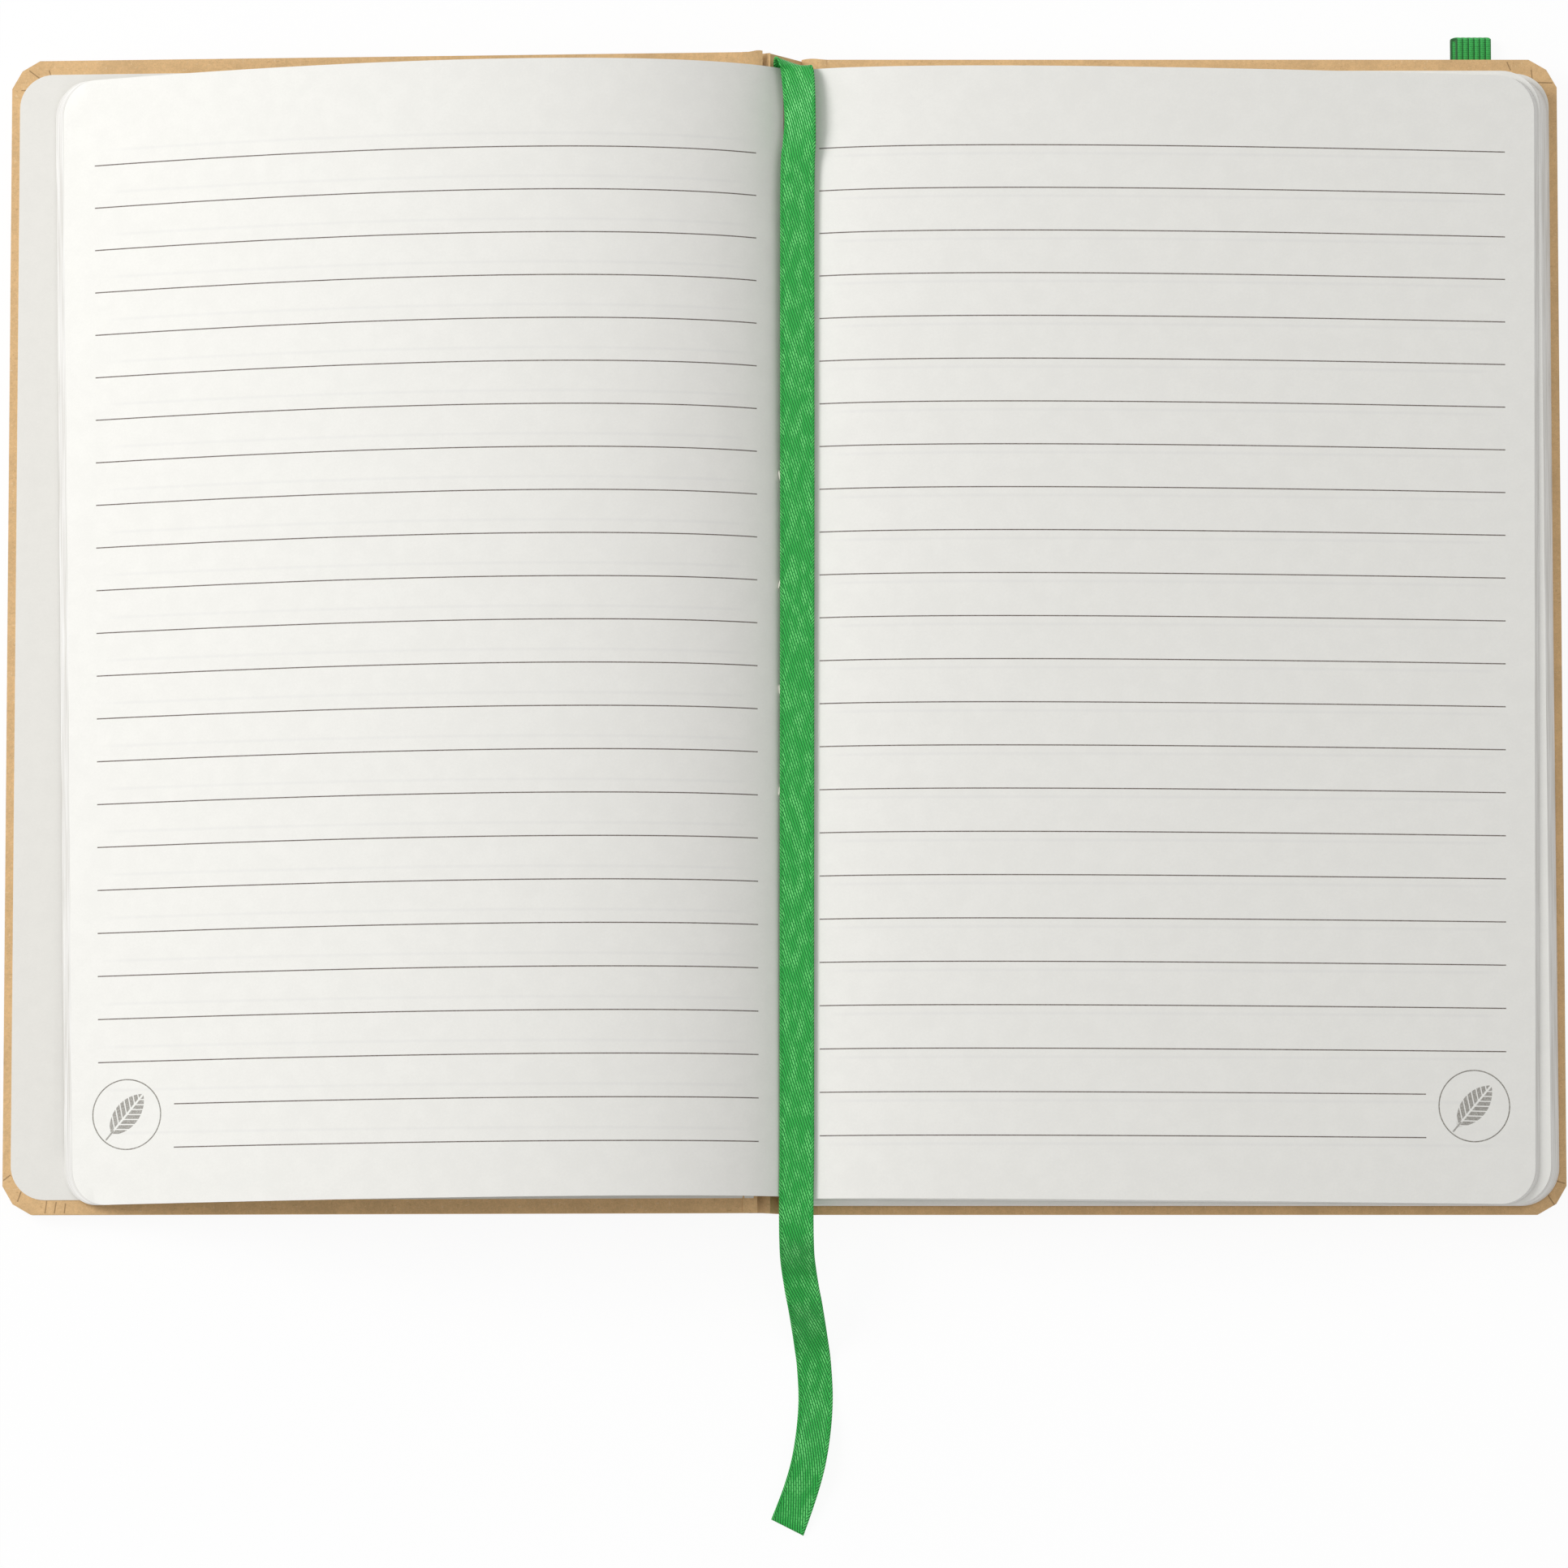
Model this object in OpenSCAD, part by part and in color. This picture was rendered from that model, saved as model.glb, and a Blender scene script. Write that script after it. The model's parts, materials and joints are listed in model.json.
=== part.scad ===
// Open hard-cover notebook, lying on a table and turned to one of its first spreads.
// The case is two boards and a spine strip, wrapped in one skin of kraft paper.
// X runs across the spread, Y runs from tail to head, and the table is Z = 0.

/* [Covers] */
// Width of one cover, with its paper
cover_w = 135; // [110:1:160]
// Height of the covers and of the spine, with their paper
cover_h = 210.8; // [170:0.2:240]
// Thickness of the greyboard in a cover
board_t = 2; // [1.5:0.1:3]
// Thickness of the kraft paper
kraft_t = 0.25; // [0.2:0.05:0.4]
// Thickness of the endpapers
endpaper_t = 0.15; // [0.1:0.05:0.25]
// Radius of the covers' outer corners
cover_r = 7; // [4:0.5:10]
// Flats that the gathered kraft paper leaves round a corner
corner_flats = 2; // [1:1:4]
// Width of the kraft turned in over the boards
turn_in = 10; // [6:0.5:16]
// Kraft left bare between the pasted endpaper and the fore edge
fore_margin = 1.5; // [1:0.1:3]
// Kraft left bare between the pasted endpaper and the head and tail
head_margin = 2.6; // [1.5:0.1:4]
// Endpaper left free past the front cover's inner edge, at its fold
fold_free = 1; // [0.5:0.1:1.5]

/* [Spine] */
// Width of the spine strip
spine_w = 12; // [10:0.5:16]
// Thickness of the spine strip's card
strip_t = 1.2; // [0.8:0.1:1.6]
// Lean of the spine strip, from the table
spine_lean = 55; // [45:1:65]
// Place of the spine strip's foot along X
foot_x = 2.8; // [2:0.1:3]
// Kraft left free past the front cover's inner edge
front_flap = 1; // [0.5:0.1:1.5]
// Half of the gap in the kraft at a fold, where a cover's own kraft begins
fold_gap = 0.25; // [0.2:0.05:0.4]
// Share of the back fold's kraft that stays with the spine
fold_share = 0.5; // [0.4:0.05:0.6]

/* [Pages] */
// Reach of the covers past the lowest leaf at the fore edge
fore_square = 1.5; // [1:0.1:4]
// Reach of the covers past the leaves at the head
head_square = 4.3; // [2:0.1:6]
// Reach of the covers past the leaves at the tail
tail_square = 1.5; // [1:0.1:4]
// Radius of the leaves' outer corners
leaf_r = 6.5; // [3:0.5:10]
// Thickness of the sections that lie shut on the back cover
block_t = 5.6; // [4.4:0.2:6.6]
// Thickness of the leaves on either side of the opening
open_t = 0.8; // [0.5:0.1:1.2]
// Width of the sewn back of the pages
back_w = 8; // [7:0.2:9]
// Lead of the lowest leaf over the topmost one at the fore edge
fore_slant = 2; // [0.5:0.1:3]
// Set-back of the topmost right-hand leaf behind the shut sections
fan_back = 2; // [0:0.1:3]
// Place of the sewn back's lower edge along X
back_x = 4; // [3.8:0.1:4.4]
// Height of the hump's steering point above the fore edge of the stack
hump_rise = 13.2; // [8:0.2:15]
// Place of the hump's steering point along X
hump_x = 36; // [30:1:50]
// Distance along X that the hump's curve steers for from the gutter
hump_run = 8; // [6:0.5:12]
// Height that the hump's curve steers for from the gutter
hump_climb = 5.2; // [4:0.2:7]
// Height of the arch's steering point above the gutter
arch_rise = 23.4; // [14:0.2:26]
// Place of the arch's steering point, left of the gutter
arch_x = 55; // [45:1:65]
// Distance along X that the arch's curve steers for from the gutter
arch_run = 13; // [10:0.5:16]
// Height that the arch's curve steers for from the gutter
arch_climb = 14; // [11:0.5:16]
// Lag of the arch's lowest leaf behind its topmost one
arch_lag = 0.4; // [0.2:0.05:0.6]
// Twist of the turned leaves against the covers
turned_skew = 0.6; // [0:0.1:1]
// Slip of the turned leaves towards the head
turned_slip = 1.4; // [0:0.1:2]
// Air between the leaves and what they lie on
leaf_gap = 0.1; // [0.05:0.05:0.3]
// Reach of the front cover past the turned leaves at the fore edge
turned_square = 11; // [6:0.5:20]
// Depth of the fold from the sewn back to the bottom of the gutter
fold_depth = 1.2; // [0.8:0.1:1.6]

/* [Sewing and lining] */
// Thickness of the lining glued to the sewn back
lining_t = 0.3; // [0.2:0.05:0.5]
// Length of lining that shows past the tail of the pages
lining_past = 1.2; // [0:0.2:2]
// Thickness of the sewing thread
thread_d = 0.4; // [0.3:0.05:0.5]
// Distance from one stitch to the next
stitch_pitch = 19.5; // [15:0.5:24]
// Length of one stitch in the gutter
stitch_l = 15.5; // [10:0.5:18]
// Number of stitches
stitches = 10; // [4:1:10]

/* [Elastic band] */
// Width of the band
band_w = 6.2; // [5:0.1:8]
// Thickness of the band
band_t = 0.8; // [0.6:0.1:1.2]
// Air on each side of a run of the band
band_gap = 0.1; // [0.05:0.05:0.2]
// Distance from the fore edge to the middle of the band
band_inset = 16.2; // [12:0.2:24]
// Distance from the head or tail edge to a slot
slot_inset = 9; // [7:0.5:14]
// Play of the band in its slot, on each side
slot_play = 0.2; // [0.1:0.05:0.4]
// Reach of the slack loop past the head edge
loop_reach = 4.8; // [2:0.2:8]
// Length of each glued end inside the cover
glued_l = 16; // [10:1:24]

/* [Spread] */
// Distance from the middle of the spread to the back cover's inner edge
back_edge_x = 6.1; // [5.9:0.1:7]
// Height of the front cover's inner edge above the table
front_rise = 9.5; // [9:0.1:10]

/* [Ribbon] */
// Width of the ribbon marker
ribbon_w = 6.2; // [5:0.1:8]
// Thickness of the ribbon marker
ribbon_t = 0.35; // [0.2:0.05:0.5]
// Length of ribbon glued to the sewn back, down from the head
ribbon_glued = 22; // [10:1:40]
// Lean of the ribbon in the gutter, towards the right-hand page
ribbon_lean = 3; // [0:1:25]
// Place of the ribbon's middle right of the gutter
ribbon_shift = 1.5; // [1:0.1:2.5]
// Height of the ribbon's middle above the bottom of the gutter
ribbon_rise = 2.9; // [2.2:0.1:4]
// Length of the ribbon's loose tail past the pages, as it lies
tail_out = 59; // [40:1:80]
// Swing of the loose tail to the right
tail_swing = 3.5; // [0:0.5:6]

/* [Hidden] */
$fn = 48;
kraft = "#d8b487";
greyboard = "#a9a39a";
endpaper = "#eceeec";
paper = "#f0efeb";
green = "#2f9a4c";
// Faces of a cover, counted up from its outer face
board_z = kraft_t;
turned_z = board_z + board_t;
paste_z = turned_z + kraft_t;
cover_t = paste_z + endpaper_t;
// The back cover lies on the two runs of the elastic band
lift = 2 * band_t + 2 * band_gap;
half_spread = cover_w + back_edge_x;
// The front cover slopes from the spine down to the table
front_slope = asin(front_rise / cover_w);
front_edge_x = cover_w * cos(front_slope) + paste_z * sin(front_slope) - half_spread;
front_flap_end = [front_edge_x, front_rise] + front_flap * [cos(front_slope), sin(front_slope)];
strip_top = [foot_x, 0] + spine_w * [-cos(spine_lean), sin(spine_lean)];
// The sewn back stands parallel to the spine strip
stack_z = lift + cover_t + leaf_gap;
back_up = [-cos(spine_lean), sin(spine_lean)];
back_out = [sin(spine_lean), cos(spine_lean)];
back_low = [back_x, stack_z];
back_top = back_low + back_w * back_up;
block_top = back_low + (back_w - 2 * open_t) * back_up;
gutter = back_top - open_t * back_up + fold_depth * back_out;
stack_top = stack_z + block_t;
fore_x = half_spread - fore_square;
leaf_h = cover_h - head_square - tail_square;
leaf_y = (tail_square - head_square) / 2;
// Steering points of the page curves, each a cubic from the gutter to a fore edge
hump = [gutter, gutter + [hump_run, hump_climb], [hump_x, stack_top + open_t + hump_rise],
    [fore_x - fore_slant - fan_back, stack_top + leaf_gap + open_t]];
turned_x = turned_square - half_spread;
arch = [gutter, gutter + [-arch_run, arch_climb], gutter + [-arch_x, arch_rise],
    [turned_x, turned_z_at(turned_x) + leaf_gap + open_t]];
under = [back_top - [arch_lag, 0], back_top + [-arch_run - arch_lag, arch_climb - open_t],
    gutter + [-arch_x - arch_lag / 2, arch_rise - open_t], [turned_x, turned_z_at(turned_x) + leaf_gap]];
band_x = half_spread - band_inset;
slot_y = cover_h / 2 - slot_inset;
curve_steps = 32;
// Distance that a cut goes on past the face that it opens
past = 1;
// More room than the pages take up, above the table or past the gutter
page_room = 60;
stitch_r = thread_d / 2;
// The slack loop reaches past the head, so the frame's Y = 0 is half of it above mid height
frame_y = -loop_reach / 2;

// Height of the front cover's inner face at a place along X
function turned_z_at(x) = front_rise + cover_t / cos(front_slope)
    + (x - front_edge_x) * tan(front_slope);
function cubic(p, t) = pow(1 - t, 3) * p[0] + 3 * t * pow(1 - t, 2) * p[1]
    + 3 * t * t * (1 - t) * p[2] + pow(t, 3) * p[3];
function curve(p, n = curve_steps) = [for (i = [0:n]) cubic(p, i / n)];
function turned_back(list) = [for (i = [len(list) - 1:-1:0]) list[i]];

// A profile in X and Z, drawn out along Y
module along_y(length) {
    rotate([90, 0, 0]) linear_extrude(height = length, center = true) children();
}

// The whole row sits so that the box of the bound book is centred on the frame
module in_frame() {
    translate([0, frame_y, 0]) children();
}

// A leaf or board from its inner edge at x = 0, with two round corners
module leaf_outline(w, h, r) {
    translate([0, -h / 2]) square([w - r, h]);
    translate([0, r - h / 2]) square([w, h - 2 * r]);
    for (side = [-1, 1]) translate([w - r, side * (h / 2 - r)]) circle(r);
}

// The kraft skin's outline: flats tangent to the round corner
module skin_outline(w, h, r, flap) {
    step = 90 / (corner_flats + 1);
    tip = r / cos(step / 2);
    corner = [for (i = [0:corner_flats]) tip * [cos((i + 0.5) * step), sin((i + 0.5) * step)]];
    head = [for (p = corner) [w - r + p[0], h / 2 - r + p[1]]];
    tail = [for (p = turned_back(head)) [p[0], -p[1]]];
    polygon(concat([[-flap, -h / 2]], tail, head, [[-flap, h / 2]]));
}

// A cover lies on its outer face, with its inner edge at x = 0 and its fore edge at +X
module board_blank() {
    translate([0, 0, board_z]) linear_extrude(board_t)
        leaf_outline(cover_w - kraft_t, cover_h - 2 * kraft_t, cover_r - kraft_t);
}

module cover_skin(flap) {
    difference() {
        union() {
            linear_extrude(kraft_t) skin_outline(cover_w, cover_h, cover_r, flap);
            linear_extrude(paste_z) skin_outline(cover_w, cover_h, cover_r, 0);
        }
        board_blank();
        translate([-past, 0, board_z]) linear_extrude(board_t + past)
            square([2 * past, cover_h - 2 * kraft_t], center = true);
        translate([-past, 0, turned_z]) linear_extrude(kraft_t + past)
            square([2 * (cover_w - turn_in + past), cover_h - 2 * turn_in], center = true);
    }
}

// The endpaper steps down off the turned-in kraft on to the board
module cover_lining(free) {
    window = [cover_w - turn_in, cover_h - 2 * turn_in];
    difference() {
        translate([0, 0, turned_z]) linear_extrude(kraft_t + endpaper_t) union() {
            leaf_outline(cover_w - fore_margin, cover_h - 2 * head_margin, cover_r - fore_margin / 2);
            translate([-free, head_margin - cover_h / 2])
                square([free + past, cover_h - 2 * head_margin]);
        }
        difference() {
            translate([-free - past, -cover_h / 2, turned_z - past])
                cube([cover_w + free + 2 * past, cover_h, kraft_t + past]);
            translate([-free - 2 * past, -window[1] / 2, turned_z - 2 * past])
                cube([window[0] + free + 2 * past, window[1], kraft_t + 3 * past]);
        }
        translate([-free - past, endpaper_t - window[1] / 2, turned_z + endpaper_t])
            cube([window[0] + free + past - endpaper_t, window[1] - 2 * endpaper_t, kraft_t + past]);
    }
}

module on_back() {
    in_frame() translate([back_edge_x, 0, lift]) children();
}

module on_front() {
    in_frame() translate([front_edge_x, 0, front_rise]) rotate([0, -front_slope, 0])
        mirror([1, 0, 0]) children();
}

module on_spine() {
    in_frame() along_y(cover_h) translate([foot_x, 0]) rotate(180 - spine_lean) children();
}

module band_slots() {
    for (side = [-1, 1])
        translate([cover_w - band_inset, side * slot_y, turned_z / 2])
            cube([band_w + 2 * slot_play, band_t + 2 * slot_play, turned_z + past], center = true);
}

module back_board() {
    color(greyboard) on_back() difference() {
        board_blank();
        band_slots();
        for (side = [-1, 1])
            translate([cover_w - band_inset, side * (slot_y - glued_l / 2), turned_z])
                cube([band_w + 2 * slot_play, glued_l + slot_play, 2 * (band_t + band_gap)],
                    center = true);
    }
}

module back_cover_paper() {
    color(kraft) on_back() difference() {
        cover_skin(0);
        band_slots();
    }
    color(kraft) in_frame() along_y(cover_h) back_groove();
}

// Kraft between the spine's foot and the back cover, which belongs to the back cover
module back_groove() {
    start = [foot_x, 0] + fold_share * [back_edge_x - foot_x, lift] + [fold_gap, 0];
    polygon([start, [back_edge_x, lift], [back_edge_x, lift + kraft_t], start + [0, kraft_t]]);
}

module back_pastedown() {
    color(endpaper) on_back() cover_lining(0);
}

module front_board() {
    color(greyboard) on_front() board_blank();
}

module front_cover_paper() {
    color(kraft) on_front() cover_skin(front_flap);
}

module front_pastedown() {
    color(endpaper) on_front() cover_lining(fold_free);
}

module spine_strip() {
    color(greyboard) in_frame() along_y(cover_h - 2 * kraft_t)
        translate([foot_x, 0]) rotate(180 - spine_lean)
            translate([0, -kraft_t - strip_t]) square([spine_w, strip_t]);
}

module spine_paper() {
    flap = fold_share * [back_edge_x - foot_x, lift] - [fold_gap, 0];
    color(kraft) difference() {
        union() {
            on_spine() translate([0, -strip_t - 2 * kraft_t])
                square([spine_w, strip_t + 2 * kraft_t]);
            in_frame() along_y(cover_h) polygon([strip_top - kraft_t * back_up,
                front_flap_end + [2 * fold_gap, 0], front_flap_end + [2 * fold_gap, kraft_t],
                strip_top + kraft_t * back_out, strip_top + kraft_t * (back_out - back_up)]);
            in_frame() along_y(cover_h) translate([foot_x, 0])
                polygon([[0, 0], flap, flap + [0, kraft_t], [0, kraft_t]]);
        }
        spine_strip();
        in_frame() along_y(cover_h - 2 * turn_in) translate([foot_x, 0])
            rotate(180 - spine_lean) translate([-past, -strip_t - kraft_t - 2 * past])
                square([spine_w + 2 * past, 2 * past]);
    }
}

// The leaves stand nearer the tail than the head of the case
module on_leaves() {
    in_frame() translate([0, leaf_y, 0]) children();
}

module pages() {
    color(paper) on_leaves() intersection() {
        along_y(leaf_h) polygon([back_low, [fore_x, stack_z], [fore_x - fore_slant, stack_top],
            [block_top[0] + fold_depth, stack_top], block_top]);
        right_plan();
    }
}

// The leaves at the opening: an arch over the front cover and a fan over the shut sections
module open_leaves() {
    fore = [fore_x - fore_slant, stack_top + leaf_gap];
    color(paper) on_leaves() {
        intersection() {
            along_y(leaf_h) polygon(concat(curve(hump), [fore],
                [[block_top[0] + fold_depth, stack_top + leaf_gap], block_top + leaf_gap * back_up,
                    back_top]));
            right_plan();
        }
        intersection() {
            along_y(cover_h) polygon(concat(curve(arch), turned_back(curve(under)),
                [back_top, block_top + leaf_gap * back_up]));
            linear_extrude(page_room) rotate(turned_skew) translate([page_room, turned_slip])
                mirror([1, 0]) leaf_outline(page_room - turned_x, leaf_h, leaf_r);
        }
    }
}

// The plan of the right-hand leaves, open at the spine
module right_plan() {
    linear_extrude(page_room) translate([-page_room, 0])
        leaf_outline(page_room + fore_x, leaf_h, leaf_r);
}

module spine_lining() {
    color("#e6dcc4") on_leaves() translate([0, -lining_past / 2, 0])
        along_y(leaf_h + lining_past) polygon([back_low, back_top,
            back_top - lining_t * back_out, back_low - lining_t * back_out]);
}

module sewing_thread() {
    color("#efe9dc") on_leaves() for (i = [0:stitches - 1])
        translate([gutter[0], (i - (stitches - 1) / 2) * stitch_pitch,
            gutter[1] + stitch_r + leaf_gap])
            rotate([90, 0, 0]) cylinder(r = stitch_r, h = stitch_l, center = true);
}

// One profile in Y and Z: glued end, slot, slack loop, long run, slot, glued end
module band_profile() {
    r = band_t / 2 + band_gap / 2 + band_t / 2;
    upper = lift - band_gap - band_t;
    top = lift + turned_z;
    loop_y = cover_h / 2 + loop_reach - r;
    tail_y = -slot_y;
    translate([slot_y - glued_l, top - band_t]) square([glued_l + band_t / 2, band_t]);
    translate([slot_y - band_t / 2, upper]) square([band_t, top - upper]);
    translate([slot_y - band_t / 2, upper]) square([loop_y - slot_y + band_t / 2, band_t]);
    translate([loop_y, r]) intersection() {
        difference() {
            circle(r);
            circle(r - band_t);
        }
        translate([0, -r - 1]) square(2 * r + 2);
    }
    translate([tail_y - band_t / 2, 0]) square([loop_y - tail_y + band_t / 2, band_t]);
    translate([tail_y - band_t / 2, 0]) square([band_t, top]);
    translate([tail_y - band_t / 2, top - band_t]) square([glued_l + band_t / 2, band_t]);
}

module elastic_band() {
    color(green) in_frame() translate([band_x, 0, 0]) rotate([90, 0, 90])
        linear_extrude(height = band_w, center = true) band_profile();
}

// A straight stretch of ribbon along Y, from one Y to another
module ribbon_run(mid, lean, from, to) {
    translate([mid[0], (from + to) / 2, mid[1]]) rotate([0, -lean, 0])
        cube([ribbon_w, to - from, ribbon_t], center = true);
}

gutter_at = gutter + [ribbon_shift, ribbon_rise];
// The loose tail's middle line, as shares of its length, its drop and its swing
tail_shape = [[-0.08, 1, 0], [0.01, 0.98, -0.03], [0.08, 0.92, 0], [0.15, 0.78, 0.03], [0.21, 0.6, 0.17],
    [0.26, 0.5, 0.34], [0.32, 0.4, 0.51], [0.38, 0.24, 0.69], [0.45, 0.1, 0.86], [0.52, 0.045, 0.97],
    [0.62, 0.055, 1], [0.72, 0.11, 0.83], [0.81, 0.125, 0.54], [0.9, 0.07, 0.1], [1, 0.03, -0.62]];
tail = [for (p = tail_shape) [-leaf_h / 2 - p[0] * tail_out, gutter_at[1] * p[1],
    gutter_at[0] + p[2] * tail_swing]];

function beside(list, i, d) = let (a = list[max(i - 1, 0)], b = list[min(i + 1, len(list) - 1)],
    t = (b - a) / norm(b - a)) list[i] + d * [-t[1], t[0]];
function strip_of(list, d) = concat([for (i = [0:len(list) - 1]) beside(list, i, d)],
    turned_back([for (i = [0:len(list) - 1]) beside(list, i, -d)]));

// Glued behind the sewn back, over the head, down the gutter and out past the tail
module ribbon_marker() {
    glued_at = (back_low + back_top) / 2 - (lining_t + leaf_gap + ribbon_t / 2) * back_out;
    head_y = leaf_h / 2 + turned_slip + leaf_gap;
    half = ribbon_w / 2;
    gutter_across = half * [cos(ribbon_lean), sin(ribbon_lean)];
    glued_across = half * [cos(spine_lean), -sin(spine_lean)];
    color(green) on_leaves() {
        ribbon_run(glued_at, -spine_lean, head_y - ribbon_glued, head_y + ribbon_t);
        translate([0, head_y + ribbon_t / 2, 0]) along_y(ribbon_t)
            polygon([gutter_at - gutter_across, gutter_at + gutter_across,
                glued_at + glued_across, glued_at - glued_across]);
        ribbon_run(gutter_at, ribbon_lean, tail[0][0] - ribbon_w / 4, head_y + ribbon_t);
        intersection() {
            rotate([90, 0, 90]) linear_extrude(height = page_room, center = true)
                polygon(strip_of([for (p = tail) [p[0], p[1]]], ribbon_t / 2));
            linear_extrude(page_room)
                polygon(strip_of([for (p = tail) [p[2], p[0]]], half));
        }
    }
}

pages();
open_leaves();
spine_lining();
sewing_thread();
ribbon_marker();
back_board();
back_cover_paper();
back_pastedown();
elastic_band();
spine_strip();
spine_paper();
front_board();
front_cover_paper();
front_pastedown();
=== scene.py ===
"""Dressed model of an open ruled notebook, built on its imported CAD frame.

Every length is in metres, in the frame of the CAD model: X runs across the
spread, Y from tail to head, and Z up from the table.
"""

from __future__ import annotations

import json
import logging
import math
from dataclasses import dataclass, field
from enum import Enum
from typing import Callable, Sequence

import bmesh
import bpy
from mathutils import Matrix, Vector

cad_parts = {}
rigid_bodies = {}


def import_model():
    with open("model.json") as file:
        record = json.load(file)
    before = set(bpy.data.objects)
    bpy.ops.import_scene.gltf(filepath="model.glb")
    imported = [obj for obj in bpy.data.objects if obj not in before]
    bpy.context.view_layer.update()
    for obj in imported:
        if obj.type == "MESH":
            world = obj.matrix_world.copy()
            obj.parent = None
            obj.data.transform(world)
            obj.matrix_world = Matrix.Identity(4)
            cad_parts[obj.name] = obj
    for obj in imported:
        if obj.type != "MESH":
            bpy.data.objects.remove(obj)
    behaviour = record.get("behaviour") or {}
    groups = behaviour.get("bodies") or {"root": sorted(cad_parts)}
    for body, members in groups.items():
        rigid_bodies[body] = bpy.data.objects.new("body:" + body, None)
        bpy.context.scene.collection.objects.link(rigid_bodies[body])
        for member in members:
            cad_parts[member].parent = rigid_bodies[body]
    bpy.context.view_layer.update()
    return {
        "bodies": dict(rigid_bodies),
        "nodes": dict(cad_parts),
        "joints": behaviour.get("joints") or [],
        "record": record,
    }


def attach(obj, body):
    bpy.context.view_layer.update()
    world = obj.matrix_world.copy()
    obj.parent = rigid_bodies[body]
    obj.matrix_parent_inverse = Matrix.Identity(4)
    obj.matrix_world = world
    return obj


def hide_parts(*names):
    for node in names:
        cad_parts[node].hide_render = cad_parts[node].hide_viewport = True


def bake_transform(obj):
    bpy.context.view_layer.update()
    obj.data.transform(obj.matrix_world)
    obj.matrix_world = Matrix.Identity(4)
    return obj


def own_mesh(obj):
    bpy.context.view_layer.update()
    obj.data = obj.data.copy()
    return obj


LOG = logging.getLogger("notebook")
MM = 0.001
# Middle of the covers along Y, middle of the leaves from there, and the zero of the ribbon's route.
ROW_Y = -2.4 * MM
LEAF_Y = -1.4 * MM
PHOTO_Y = -2.8 * MM

Point2 = tuple[float, float]
Colour = tuple[float, float, float]


class Body(str, Enum):
    """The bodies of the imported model."""

    BLOCK = "book_block"
    BACK = "back_cover"
    FRONT = "front_cover"


class Side(Enum):
    """The two pages of the spread, by the sign of their X."""

    LEFT = -1
    RIGHT = 1


def srgb(red: int, green: int, blue: int) -> Colour:
    """Turns a colour of 0 to 255 a channel into linear light.

    Args:
        red: Red channel.
        green: Green channel.
        blue: Blue channel.

    Returns:
        The linear colour.
    """

    def channel(value: int) -> float:
        """Returns one linear channel."""
        part = value / 255
        return part / 12.92 if part <= 0.04045 else ((part + 0.055) / 1.055) ** 2.4

    return channel(red), channel(green), channel(blue)


# Shader maths


class Wire:
    """A number that travels between shader nodes, with Python's operators on it."""

    def __init__(self, bench: "Bench", socket: bpy.types.NodeSocket) -> None:
        """Keeps the socket and the bench that it belongs to."""
        self.bench = bench
        self.socket = socket

    def _math(self, operation: str, *values: object) -> "Wire":
        """Adds one Math node.

        Args:
            operation: Blender's name of the operation.
            values: Numbers or wires, in the order of the node's inputs.

        Returns:
            The node's result.
        """
        made = self.bench.node(
            "ShaderNodeMath", {"operation": operation}, dict(enumerate(values))
        )
        return Wire(self.bench, made.outputs[0])

    def __add__(self, other: object) -> "Wire":
        """Returns self + other."""
        return self._math("ADD", self, other)

    def __sub__(self, other: object) -> "Wire":
        """Returns self - other."""
        return self._math("SUBTRACT", self, other)

    def __mul__(self, other: object) -> "Wire":
        """Returns self * other."""
        return self._math("MULTIPLY", self, other)

    def __truediv__(self, other: object) -> "Wire":
        """Returns self / other."""
        return self._math("DIVIDE", self, other)

    def __radd__(self, other: object) -> "Wire":
        """Returns other + self."""
        return self._math("ADD", other, self)

    def __rsub__(self, other: object) -> "Wire":
        """Returns other - self."""
        return self._math("SUBTRACT", other, self)

    def __rmul__(self, other: object) -> "Wire":
        """Returns other * self."""
        return self._math("MULTIPLY", other, self)

    def __abs__(self) -> "Wire":
        """Returns the size of the number, without its sign."""
        return self._math("ABSOLUTE", self)

    def most(self, other: object) -> "Wire":
        """Returns the larger of two numbers."""
        return self._math("MAXIMUM", self, other)

    def root(self) -> "Wire":
        """Returns the square root."""
        return self._math("SQRT", self)

    def whole(self) -> "Wire":
        """Returns the number rounded down."""
        return self._math("FLOOR", self)

    def nearest(self, pitch: float) -> "Wire":
        """Returns the distance to the nearest multiple of pitch."""
        return abs(self._math("PINGPONG", self, pitch / 2))

    def ramp(self, start: float, end: float) -> "Wire":
        """Rises smoothly from 0 at start to 1 at end.

        Args:
            start: Value at which the result is 0.
            end: Value at which the result is 1; it may be below start.

        Returns:
            A number from 0 to 1.
        """
        low, high = min(start, end), max(start, end)
        made = self.bench.node(
            "ShaderNodeMapRange",
            {"interpolation_type": "SMOOTHSTEP", "clamp": True},
            {"Value": self, "From Min": low, "From Max": high},
        )
        rise = Wire(self.bench, made.outputs["Result"])
        return rise if start < end else 1 - rise


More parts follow.
